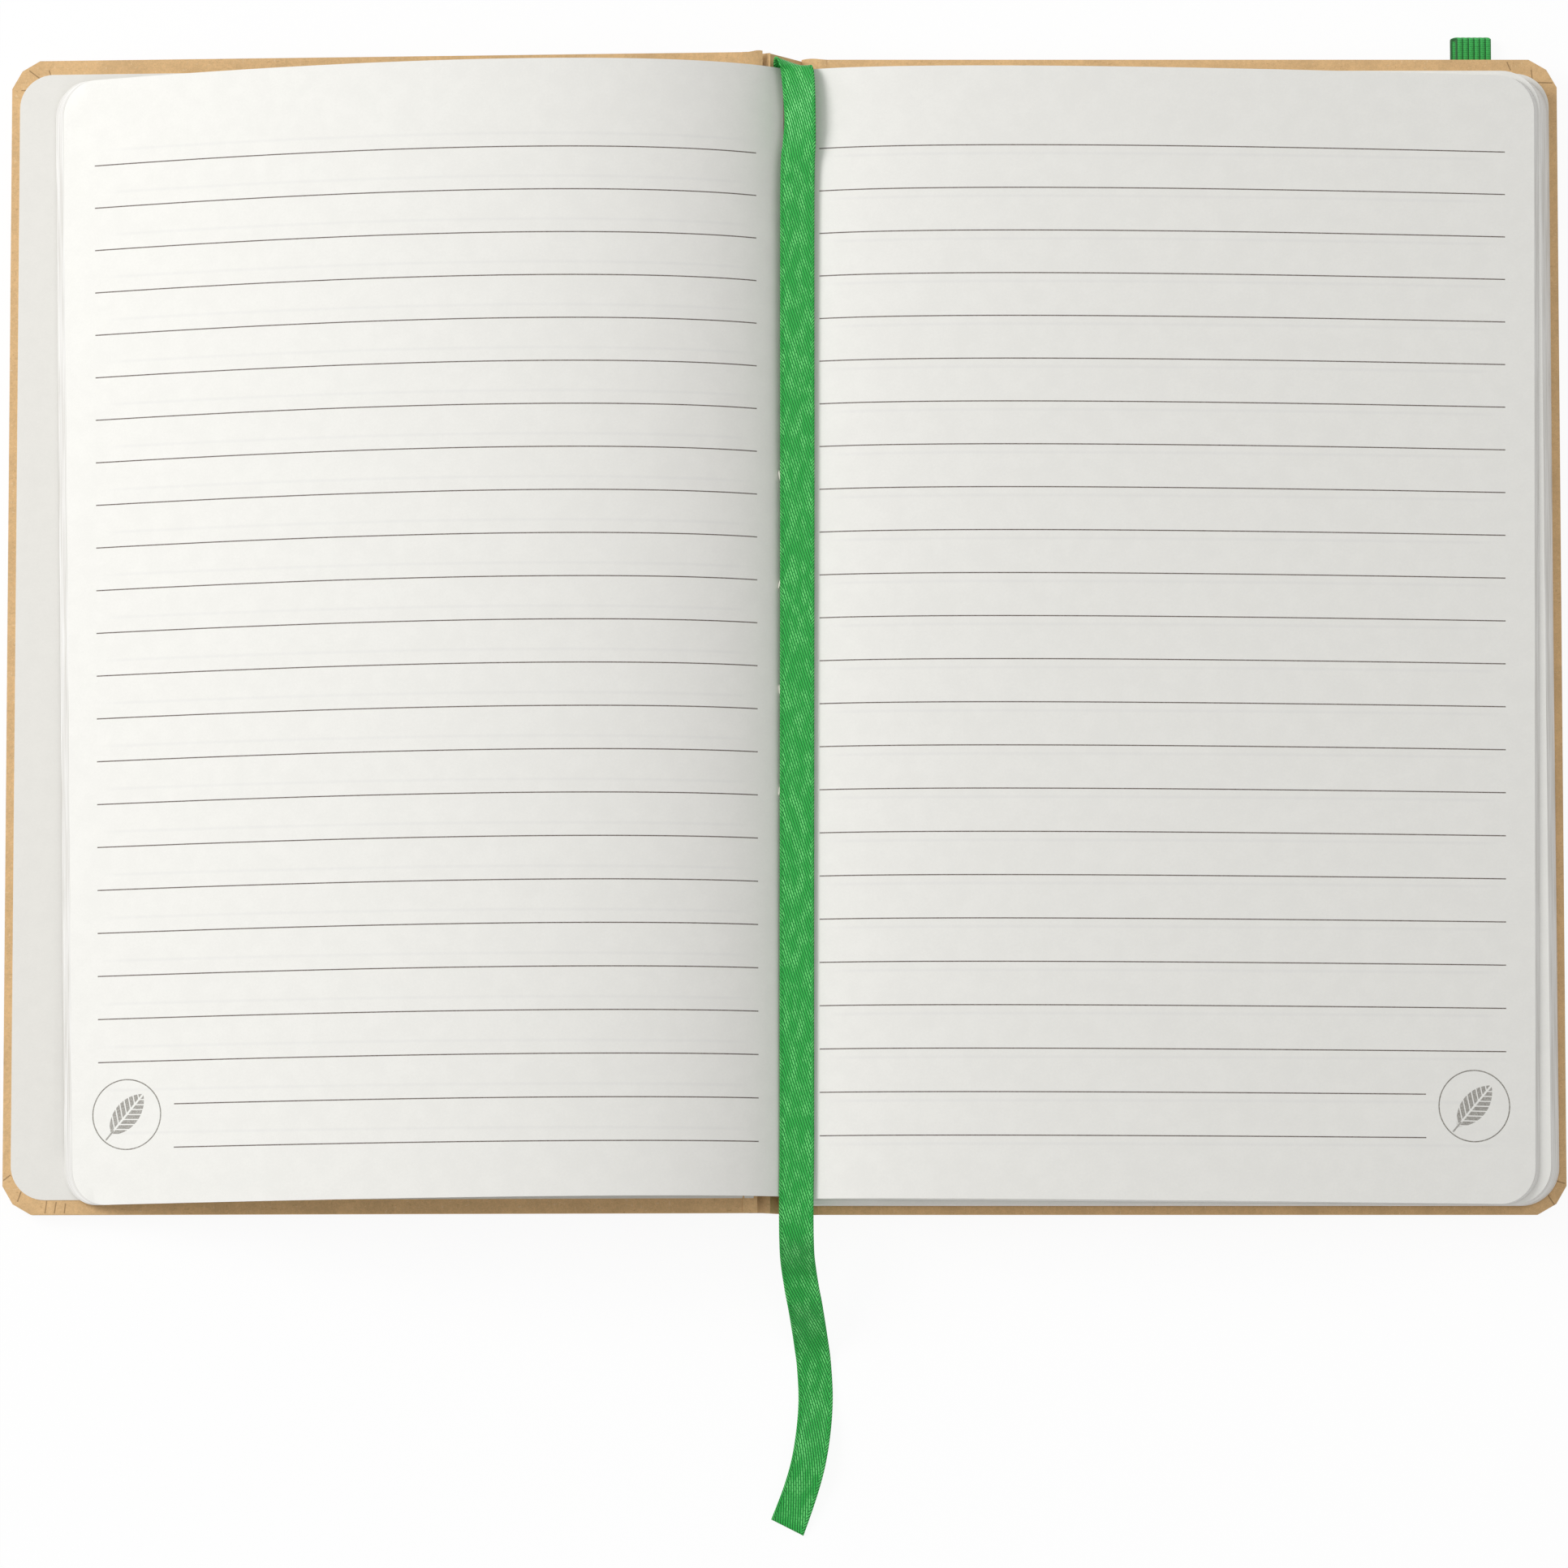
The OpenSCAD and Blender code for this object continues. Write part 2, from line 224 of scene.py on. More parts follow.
class Bench:
    """Builds the node tree of one material."""

    def __init__(self, name: str) -> None:
        """Starts an empty material."""
        self.material = bpy.data.materials.new(name)
        self.material.use_nodes = True
        self.tree = self.material.node_tree
        self.tree.nodes.clear()

    def node(
        self,
        kind: str,
        settings: dict[str, object] | None = None,
        inputs: dict[object, object] | None = None,
    ) -> bpy.types.Node:
        """Adds a node.

        Args:
            kind: Blender's type name of the node.
            settings: Properties of the node, set before its inputs.
            inputs: Values or links, by the socket's name or number.

        Returns:
            The new node.
        """
        made = self.tree.nodes.new(kind)
        for name, value in (settings or {}).items():
            setattr(made, name, value)
        for key, value in (inputs or {}).items():
            socket = made.inputs[key]
            if isinstance(value, Wire):
                self.tree.links.new(value.socket, socket)
            elif isinstance(value, bpy.types.NodeSocket):
                self.tree.links.new(value, socket)
            elif socket.type == "RGBA":
                socket.default_value = (*value, 1.0)
            else:
                socket.default_value = value
        return made

    def place(self) -> bpy.types.NodeSocket:
        """Returns the Object coordinates."""
        return self.node("ShaderNodeTexCoord").outputs["Object"]

    def own_map(self) -> bpy.types.NodeSocket:
        """Returns the piece's own UV coordinates."""
        return self.node("ShaderNodeUVMap", {"uv_map": "UVMap"}).outputs[0]

    def axes(self, vector: bpy.types.NodeSocket) -> tuple[Wire, Wire, Wire]:
        """Splits a vector.

        Args:
            vector: The socket that holds it.

        Returns:
            Its X, Y and Z.
        """
        made = self.node("ShaderNodeSeparateXYZ", None, {0: vector})
        return tuple(Wire(self, made.outputs[i]) for i in range(3))

    def spread(
        self, vector: bpy.types.NodeSocket, scale: Sequence[float]
    ) -> bpy.types.NodeSocket:
        """Scales a vector along each axis.

        Args:
            vector: The socket to scale.
            scale: Factors along X, Y and Z.

        Returns:
            The scaled vector.
        """
        made = self.node(
            "ShaderNodeVectorMath", {"operation": "MULTIPLY"}, {0: vector, 1: tuple(scale)}
        )
        return made.outputs[0]

    def cloud(
        self, vector: bpy.types.NodeSocket, scale: float, detail: float = 2.0
    ) -> Wire:
        """Adds a noise pattern.

        Args:
            vector: Where the pattern is read.
            scale: Patches per metre.
            detail: Octaves of finer noise.

        Returns:
            The pattern, about 0 to 1.
        """
        made = self.node(
            "ShaderNodeTexNoise",
            {"noise_dimensions": "3D"},
            {"Vector": vector, "Scale": scale, "Detail": detail, "Roughness": 0.55},
        )
        return Wire(self, made.outputs[0])

    def blend(self, factor: Wire, first: object, second: object) -> bpy.types.NodeSocket:
        """Mixes two colours.

        Args:
            factor: 0 gives the first colour and 1 the second.
            first: A colour or a colour socket.
            second: A colour or a colour socket.

        Returns:
            The mixed colour.
        """
        made = self.node("ShaderNodeMix", {"data_type": "RGBA", "clamp_factor": True})
        self.tree.links.new(factor.socket, made.inputs[0])
        for slot, value in ((6, first), (7, second)):
            if isinstance(value, bpy.types.NodeSocket):
                self.tree.links.new(value, made.inputs[slot])
            else:
                made.inputs[slot].default_value = (*value, 1.0)
        return made.outputs[2]

    def relief(self, height: Wire, depth: float, strength: float = 1.0) -> bpy.types.NodeSocket:
        """Turns a height into a bumped normal.

        Args:
            height: 0 to 1.
            depth: Height of 1, in metres.
            strength: Share of the effect.

        Returns:
            The normal.
        """
        made = self.node(
            "ShaderNodeBump", None, {"Height": height, "Distance": depth, "Strength": strength}
        )
        return made.outputs[0]

    def finish(
        self,
        colour: object,
        roughness: object,
        normal: bpy.types.NodeSocket | None = None,
        **fixed: object,
    ) -> bpy.types.Material:
        """Closes the material with one principled shader.

        Args:
            colour: A colour or a colour socket.
            roughness: A number or a wire.
            normal: The bumped normal, if any.
            fixed: Other inputs of the shader, by name with _ for a space.

        Returns:
            The material.
        """
        inputs: dict[object, object] = {"Base Color": colour, "Roughness": roughness}
        if normal is not None:
            inputs["Normal"] = normal
        inputs.update({key.replace("_", " "): value for key, value in fixed.items()})
        shader = self.node("ShaderNodeBsdfPrincipled", None, inputs)
        self.node("ShaderNodeOutputMaterial", None, {"Surface": shader.outputs[0]})
        return self.material


# Finishes


@dataclass(frozen=True)
class Rules:
    """The printed rules and the corner mark of one page."""

    side: Side
    first_y: float
    slope: float
    start_x: float
    start_lean: float
    end_x: float
    end_lean: float
    mark: Point2
    mark_r: float
    short_x: float
    ghost: float
    pitch: float = 7.787 * MM
    count: int = 24
    stroke: float = 0.2 * MM

    def print_mask(self, x: Wire, y: Wire) -> Wire:
        """Masks what is printed in dark ink.

        Args:
            x: Place across the page.
            y: Place up the page.

        Returns:
            1 on the ink and 0 on bare paper.
        """
        along = y - x * self.slope
        low = self.first_y - (self.count - 0.5) * self.pitch
        field_y = along.ramp(low - 0.1 * MM, low) * along.ramp(
            self.first_y + 1.1 * MM, self.first_y + MM
        )
        start = x - y * self.start_lean
        end = x - y * self.end_lean
        field_x = start.ramp(self.start_x - 0.05 * MM, self.start_x + 0.05 * MM) * end.ramp(
            self.end_x + 0.05 * MM, self.end_x - 0.05 * MM
        )
        last_two = along.ramp(low + 1.98 * self.pitch, low + 1.96 * self.pitch)
        if self.side is Side.LEFT:
            beside = x.ramp(self.short_x + 0.1 * MM, self.short_x)
        else:
            beside = x.ramp(self.short_x - 0.1 * MM, self.short_x)
        line = (along - self.first_y).nearest(self.pitch)
        rules = line.ramp(self.stroke * 0.75, self.stroke * 0.3)
        return rules * field_y * field_x * (1 - last_two * beside)

    def ghost_mask(self, x: Wire, y: Wire) -> Wire:
        """Masks the rules of the other side that show through the paper.

        Args:
            x: Place across the page.
            y: Place up the page.

        Returns:
            1 in the middle of a ghost rule.
        """
        along = y - x * self.slope * 0.4
        line = (along - self.first_y - self.ghost).nearest(self.pitch)
        low = self.first_y - (self.count - 0.6) * self.pitch
        inside = along.ramp(low, low + MM) * along.ramp(
            self.first_y + 4 * MM, self.first_y + 3 * MM
        )
        across = x.ramp(self.start_x, self.start_x + 6 * MM) * x.ramp(
            self.end_x, self.end_x - 6 * MM
        )
        return line.ramp(0.45 * MM, 0.05 * MM) * inside * across

    def mark_mask(self, x: Wire, y: Wire) -> Wire:
        """Masks a plain leaf in a ring.

        Args:
            x: Place across the page.
            y: Place up the page.

        Returns:
            1 on the mark's ink.
        """
        dx, dy = x - self.mark[0], y - self.mark[1]
        far = (dx * dx + dy * dy).root()
        ring = abs(far - self.mark_r).ramp(0.16 * MM, 0.05 * MM)
        turn = math.radians(40)
        across = dx * math.cos(turn) - dy * math.sin(turn)
        up = dx * math.sin(turn) + dy * math.cos(turn)
        reach, bow = self.mark_r * 0.98, self.mark_r * 0.62
        lobes = []
        for sign in (-1, 1):
            cx = across - sign * bow
            lobes.append((cx * cx + up * up).root())
        blade = lobes[0].most(lobes[1]).ramp(reach + 0.05 * MM, reach - 0.05 * MM)
        rib = abs(across).ramp(0.24 * MM, 0.12 * MM)
        veins = (up - abs(across) * 0.8).nearest(1.15 * MM).ramp(0.17 * MM, 0.09 * MM)
        stalk = abs(across).ramp(0.2 * MM, 0.1 * MM) * up.ramp(
            -self.mark_r * 0.55, -self.mark_r * 0.62
        ) * up.ramp(-self.mark_r * 0.98, -self.mark_r * 0.92)
        leaf = blade * (1 - rib.most(veins)) * up.ramp(-self.mark_r, -self.mark_r * 0.9)
        return ring.most((leaf.most(stalk)) * 0.8)


@dataclass(frozen=True)
class PagePaper:
    """White uncoated writing paper, ruled on the side that shows."""

    name: str
    rules: Rules | None = None
    tint: Colour = srgb(243, 242, 237)
    ink: Colour = srgb(84, 68, 58)
    mark_ink: Colour = srgb(122, 117, 108)
    ghost_ink: Colour = srgb(206, 205, 208)

    def build(self) -> bpy.types.Material:
        """Returns the material."""
        bench = Bench(self.name)
        place = bench.place()
        x, y, _ = bench.axes(place)
        tooth = bench.cloud(place, 2600, 3.0)
        patches = bench.cloud(place, 260, 2.0)
        shade = tuple(c * 0.965 for c in self.tint)
        colour = bench.blend((patches * 0.5 + tooth * 0.5).ramp(0.35, 0.7), shade, self.tint)
        if self.rules is not None:
            grain = bench.cloud(place, 5200, 1.0)
            colour = bench.blend(self.rules.ghost_mask(x, y) * 0.1, colour, self.ghost_ink)
            inked = self.rules.print_mask(x, y) * (0.62 + grain * 0.5)
            colour = bench.blend(inked, colour, self.ink)
            stamped = self.rules.mark_mask(x, y) * (grain.ramp(0.3, 0.62) * 0.35 + 0.65)
            colour = bench.blend(stamped, colour, self.mark_ink)
        normal = bench.relief(tooth, 0.02 * MM, 0.35)
        return bench.finish(colour, 0.86, normal, Specular_IOR_Level=0.2)


@dataclass(frozen=True)
class LeafEdges:
    """The cut edges of many leaves, as fine uneven lines."""

    name: str
    by_map: bool
    lines: float
    light: Colour = srgb(244, 243, 240)
    dark: Colour = srgb(208, 205, 198)

    def build(self) -> bpy.types.Material:
        """Returns the material."""
        bench = Bench(self.name)
        if self.by_map:
            place = bench.spread(bench.own_map(), (70.0, self.lines, 1.0))
        else:
            place = bench.spread(bench.place(), (60.0, 60.0, self.lines))
        fine = bench.cloud(place, 1.0, 1.0)
        coarse = bench.cloud(bench.spread(place, (0.6, 0.17, 0.17)), 1.0, 2.0)
        height = fine * 0.65 + coarse * 0.35
        colour = bench.blend(height.ramp(0.34, 0.62), self.dark, self.light)
        return bench.finish(
            colour, 0.9, bench.relief(height, 0.08 * MM, 0.6), Specular_IOR_Level=0.15
        )


@dataclass(frozen=True)
class Kraft:
    """Brown kraft paper with long darker and lighter fibres."""

    name: str = "kraft_paper"
    tint: Colour = srgb(222, 184, 134)
    fibre: Colour = srgb(160, 122, 78)
    fleck: Colour = srgb(236, 212, 174)
    corner_x: float = 141.1 * MM
    corner_y: float = 105.4 * MM
    creases: tuple[tuple[int, int, float, float, float, float], ...] = (
        (-1, 1, 3.2, 1.8, 5.7, 3.7), (-1, 1, 6.8, 1.8, 7.1, 2.8), (-1, 1, 1.8, 5.4, 3.4, 5.4),
        (-1, -1, 0.2, 6.2, 1.4, 7.1), (-1, -1, 2.8, 2.4, 3.4, 4.1), (-1, -1, 7.8, 0.3, 8.1, 2.4),
        (-1, -1, 9.5, 0.3, 9.8, 2.2), (-1, -1, 11.3, 0.3, 11.5, 1.9),
        (1, 1, 9.0, 0.5, 8.4, 1.9), (1, 1, 4.6, 1.9, 4.4, 4.0), (1, 1, 4.4, 4.2, 0.8, 4.3),
        (1, -1, 2.4, 6.2, 0.4, 5.6), (1, -1, 3.6, 4.5, 3.2, 3.2), (1, -1, 3.2, 3.2, 2.2, 1.7),
    )

    def _crease_mask(self, x: Wire, y: Wire) -> Wire:
        """Masks the gathers of the turned-in paper at the covers' corners, which the kraft dents
        and darkens with painted shade.

        Args:
            x: Place across the spread.
            y: Place up the spread.

        Returns:
            1 on a crease.
        """
        width = 0.16 * MM
        total = None
        for side, end, x0, y0, x1, y1 in self.creases:
            start, stop = (
                Vector((side * (self.corner_x - a * MM), end * (self.corner_y - b * MM) + ROW_Y))
                for a, b in ((x0, y0), (x1, y1))
            )
            length = (stop - start).length
            run = (stop - start) / length
            dx, dy = x - start.x, y - start.y
            along = dx * run.x + dy * run.y
            off = abs(dx * run.y - dy * run.x)
            line = off.ramp(width, width * 0.3) * along.ramp(-width, 0.0) * along.ramp(
                length + width, length
            )
            total = line if total is None else total.most(line)
        return total

    def build(self) -> bpy.types.Material:
        """Returns the material."""
        bench = Bench(self.name)
        place = bench.place()
        x, y, _ = bench.axes(place)
        crease_dent_and_shade = self._crease_mask(x, y)
        cloudy = bench.cloud(place, 190, 3.0)
        pulp = bench.cloud(place, 1500, 3.0)
        strand_a = bench.cloud(bench.spread(place, (900, 2400, 1400)), 1.0, 2.0)
        strand_b = bench.cloud(bench.spread(place, (2600, 1000, 1400)), 1.0, 2.0)
        speck = bench.cloud(place, 4200, 2.0)
        base = bench.blend(
            (cloudy * 0.35 + pulp * 0.3 + speck * 0.35).ramp(0.34, 0.68),
            tuple(c * 0.84 for c in self.tint),
            tuple(min(1.0, c * 1.08) for c in self.tint),
        )
        dark = strand_a.ramp(0.64, 0.74).most(strand_b.ramp(0.66, 0.76))
        light = strand_b.ramp(0.36, 0.26).most(strand_a.ramp(0.34, 0.26))
        colour = bench.blend(dark * 0.35, base, self.fibre)
        colour = bench.blend(light * 0.4, colour, self.fleck)
        # Painted shade: the crease lines are darkened in the colour, where the gathers would lie in
        # shade.
        colour = bench.blend(crease_dent_and_shade * 0.6, colour, tuple(c * 0.5 for c in self.fibre))
        height = pulp * 0.5 + speck * 0.3 + strand_a * 0.3 - crease_dent_and_shade * 1.5
        return bench.finish(
            colour, 0.78, bench.relief(height, 0.05 * MM, 0.5), Specular_IOR_Level=0.28
        )


@dataclass(frozen=True)
class PlainPaper:
    """A plain sheet or board: one tint with pulp patches and a fine tooth."""

    name: str
    tint: Colour
    shade: float = 0.94
    patch: float = 320.0
    tooth: float = 0.03 * MM

    def build(self) -> bpy.types.Material:
        """Returns the material."""
        bench = Bench(self.name)
        place = bench.place()
        pulp = bench.cloud(place, self.patch, 3.0)
        grain = bench.cloud(place, 2400, 2.0)
        mixed = (pulp * 0.55 + grain * 0.45).ramp(0.34, 0.66)
        colour = bench.blend(mixed, tuple(c * self.shade for c in self.tint), self.tint)
        return bench.finish(
            colour, 0.88, bench.relief(grain, self.tooth, 0.5), Specular_IOR_Level=0.2
        )


@dataclass(frozen=True)
class SatinRibbon:
    """Green satin: slanted floats between two corded edges, with painted shade between the floats
    and a painted sheen on them.
    """

    name: str = "ribbon_satin"
    tint: Colour = srgb(48, 186, 76)
    dark_tone_and_shade: Colour = srgb(8, 110, 42)
    sheen_highlight: Colour = srgb(128, 242, 138)
    width: float = 6.2 * MM
    float_w: float = 0.44 * MM
    float_l: float = 1.1 * MM

    def build(self) -> bpy.types.Material:
        """Returns the material."""
        bench = Bench(self.name)
        across, along, _ = bench.axes(bench.own_map())
        half = self.width / 2
        edge = abs(across).ramp(half - 0.6 * MM, half - 0.5 * MM)
        turn = math.radians(18)
        over = across * math.cos(turn) - along * math.sin(turn)
        down = across * math.sin(turn) + along * math.cos(turn)
        staggered = down + (over / self.float_w).whole() * (self.float_l / 2)
        sides = over.nearest(self.float_w).ramp(0.0, self.float_w * 0.34)
        ends = staggered.nearest(self.float_l).ramp(0.0, self.float_l * 0.2)
        cell = sides * 0.6 + sides * ends * 0.4
        twist = (along + abs(across) * 1.3).nearest(0.6 * MM).ramp(0.0, 0.26 * MM)
        weave = cell * (1 - edge) + twist * edge
        wander = bench.cloud(bench.spread(bench.own_map(), (700, 260, 1)), 1.0, 2.0)
        # Painted shade: the gaps between the floats and the twists of the corded edges take the
        # dark colour.
        colour = bench.blend(weave.ramp(0.0, 0.75), self.dark_tone_and_shade, self.tint)
        # Painted sheen: the crests of the floats are brightened towards a pale green where the
        # noise allows.
        colour = bench.blend(
            weave.ramp(0.5, 1.0) * wander.ramp(0.4, 0.68) * 0.7, colour, self.sheen_highlight
        )
        rough = 0.32 + edge * 0.2 + wander * 0.1
        normal = bench.relief(weave, 0.12 * MM, 0.8)
        return bench.finish(colour, rough, normal, Specular_IOR_Level=0.4)


@dataclass(frozen=True)
class ElasticWeave:
    """Green ribbed elastic: covering yarn wound closely round each rubber core."""

    name: str = "elastic_weave"
    tint: Colour = srgb(58, 178, 84)
    dark_tone_and_shade: Colour = srgb(18, 92, 38)
    pitch: float = 6.2 / 6 * MM
    stitch: float = 0.36 * MM

    def build(self) -> bpy.types.Material:
        """Returns the material."""
        bench = Bench(self.name)
        across, along, _ = bench.axes(bench.own_map())
        rib = across.nearest(self.pitch)
        yarn = (along + rib * 0.25).nearest(self.stitch).ramp(0.0, self.stitch * 0.4)
        groove = rib.ramp(self.pitch * 0.16, self.pitch * 0.03)
        fuzz = bench.cloud(bench.spread(bench.own_map(), (3000, 3000, 1)), 1.0, 2.0)
        body = (yarn * 0.4 + fuzz * 0.6) * (1 - groove * 0.9)
        # Painted shade: the grooves between the ribs and the gaps between the stitches take the
        # dark colour, and the fuzz varies the tone at random.
        colour = bench.blend(body.ramp(0.05, 0.55), self.dark_tone_and_shade, self.tint)
        return bench.finish(
            colour,
            0.7,
            bench.relief(body, 0.12 * MM, 0.8),
            Specular_IOR_Level=0.3,
            Sheen_Weight=0.3,
            Sheen_Roughness=0.5,
        )


# Mesh helpers


def ease(share: float) -> float:
    """Returns a share from 0 to 1 with soft ends; what lies outside is cut to them."""
    share = min(1.0, max(0.0, share))
    return share * share * (3 - 2 * share)


def new_piece(
    name: str, bm: bmesh.types.BMesh, materials: Sequence[bpy.types.Material]
) -> bpy.types.Object:
    """Turns a bmesh into an object at the origin.

    Args:
        name: The piece's name.
        bm: Its mesh, which is freed.
        materials: Its material slots, in order.

    Returns:
        The object.
    """
    mesh = bpy.data.meshes.new(name)
    bm.to_mesh(mesh)
    bm.free()
    for material in materials:
        mesh.materials.append(material)
    for face in mesh.polygons:
        face.use_smooth = True
    made = bpy.data.objects.new(name, mesh)
    bpy.context.scene.collection.objects.link(made)
    return made


def outward(bm: bmesh.types.BMesh) -> None:
    """Makes every face point outwards."""
    bmesh.ops.recalc_face_normals(bm, faces=bm.faces[:])


def sharpen(piece: bpy.types.Object, degrees: float = 40) -> None:
    """Keeps edges steeper than an angle sharp in smooth shading."""
    with bpy.context.temp_override(
        object=piece, active_object=piece, selected_editable_objects=[piece]
    ):
        bpy.ops.object.shade_smooth_by_angle(angle=math.radians(degrees))


def dress(node: str, material: bpy.types.Material, frame: dict) -> None:
    """Gives a CAD node its finish.

    Args:
        node: The node's name.
        material: Its material.
    """
    target = frame["nodes"][node]
    if not target.material_slots:
        target.data.materials.append(material)
    for slot in target.material_slots:
        slot.material = material
    LOG.info("dressed %s", node)


@dataclass(frozen=True)
class PageCurve:
    """A page's profile in X and Z: a cubic from the gutter to the fore edge."""

    points: tuple[Point2, Point2, Point2, Point2]
    samples: int = 240

    def _cubic(self, t: float) -> Vector:
        """Returns the point at a share of the cubic."""
        a, b, c, d = (Vector(p) for p in self.points)
        s = 1 - t
        return a * s**3 + b * 3 * t * s * s + c * 3 * t * t * s + d * t**3

    def walk(self) -> list[tuple[float, Vector]]:
        """Lists points along the curve, each with its distance from the gutter."""
        listed, far, last = [], 0.0, self._cubic(0)
        for i in range(self.samples + 1):
            here = self._cubic(i / self.samples)
            far += (here - last).length
            listed.append((far, here))
            last = here
        return listed


@dataclass(frozen=True)
class LeafPlan:
    """The plan of a leaf: its height, corner radius and twist on the table."""

    height: float = 205 * MM
    corner: float = 6.5 * MM
    twist: float = 0.0
    slip: float = 0.0
    fore_lean: float = 0.0
    columns: int = 80
    rows: int = 60
    corner_columns: int = 12
    ease: float = 1.3

    def distances(self, length: float) -> list[float]:
        """Lists where the mesh's columns lie, close together at the round corners.

        Args:
            length: The leaf's length from gutter to fore edge.

        Returns:
            Distances from the gutter.
        """
        straight = length - self.corner
        listed = [straight * (i / self.columns) ** self.ease for i in range(self.columns + 1)]
        for i in range(1, self.corner_columns + 1):
            listed.append(straight + self.corner * math.sin(math.pi / 2 * i / self.corner_columns))
        return listed

    def half_height(self, far: float, length: float) -> float:
        """Returns half of the leaf's height at a distance from the gutter."""
        into = far - (length - self.corner)
        if into <= 0:
            return self.height / 2
        into = min(into, self.corner)
        return self.height / 2 - self.corner + math.sqrt(max(0.0, self.corner**2 - into**2))


def reach_at(walked: Sequence[tuple[float, Vector]], far: float) -> Vector:
    """Finds the point at a distance along a walked curve.

    Args:
        walked: What PageCurve.walk gives.
        far: Distance from the gutter.

    Returns:
        X and Z.
    """
    last_far, last = walked[0]
    for here_far, here in walked:
        if here_far >= far:
            share = 0 if here_far == last_far else (far - last_far) / (here_far - last_far)
            return last.lerp(here, share)
        last_far, last = here_far, here
    return walked[-1][1]


@dataclass
class LeafBundle:
    """Some leaves between two page curves, as one closed mesh."""

    name: str
    top: PageCurve
    bottom: PageCurve
    plan: LeafPlan
    start: float = 0.0
    end: float = 1.0
    ripple: Callable[[float, float], float] | None = None
    seat: Matrix | None = None

    def mesh(self) -> bmesh.types.BMesh:
        """Returns the bundle's mesh: slot 0 is the page, slot 1 the cut edges.

        The UV holds the distance round the edge, in metres, and 0 to 1 from bottom to top.
        """
        bm = bmesh.new()
        over, below = self.top.walk(), self.bottom.walk()
        length, under_length = over[-1][0], below[-1][0]
        first, last = self.start * length, self.end * length
        columns = [first] + [d for d in self.plan.distances(length) if first < d < last] + [last]
        bmesh.ops.create_grid(
            bm, x_segments=len(columns) - 1, y_segments=self.plan.rows, size=0.5
        )
        count = len(columns) - 1
        where = {}
        for vert in bm.verts:
            where[vert] = (round((vert.co.x + 0.5) * count), vert.co.y * 2)
        page = bm.faces[:]
        cut = bmesh.ops.extrude_face_region(bm, geom=page)
        lower = [v for v in cut["geom"] if isinstance(v, bmesh.types.BMVert)]
        upper_at = {(round(v.co.x, 6), round(v.co.y, 6)): v for v in where}
        uv = bm.loops.layers.uv.new("UVMap")
        for vert in lower:
            column, share = where[upper_at[(round(vert.co.x, 6), round(vert.co.y, 6))]]
            where[vert] = (column, share)
        seat = self.seat or Matrix.Translation((0, ROW_Y + LEAF_Y, 0)) @ Matrix.Rotation(
            self.plan.twist, 4, "Z"
        )
        low_set = set(lower)
        for vert, (column, share) in where.items():
            far = columns[column]
            if vert in low_set:
                at = reach_at(below, far / length * under_length)
            else:
                at = reach_at(over, far)
            y = share * self.plan.half_height(far, length)
            z = at.y
            if self.ripple is not None:
                z += self.ripple(far / length, y)
            x = at.x + y * self.plan.fore_lean * far / length
            vert.co = seat @ Vector((x, y + self.plan.slip, z))
        for face in bm.faces:
            kinds = {vert in low_set for vert in face.verts}
            face.material_index = 1 if len(kinds) == 2 else 0
            for loop in face.loops:
                column, share = where[loop.vert]
                far = columns[column]
                round_edge = far - abs(share) * self.plan.half_height(far, length)
                loop[uv].uv = (round_edge, 0.0 if loop.vert in low_set else 1.0)
        outward(bm)
        return bm


# The book's own sizes


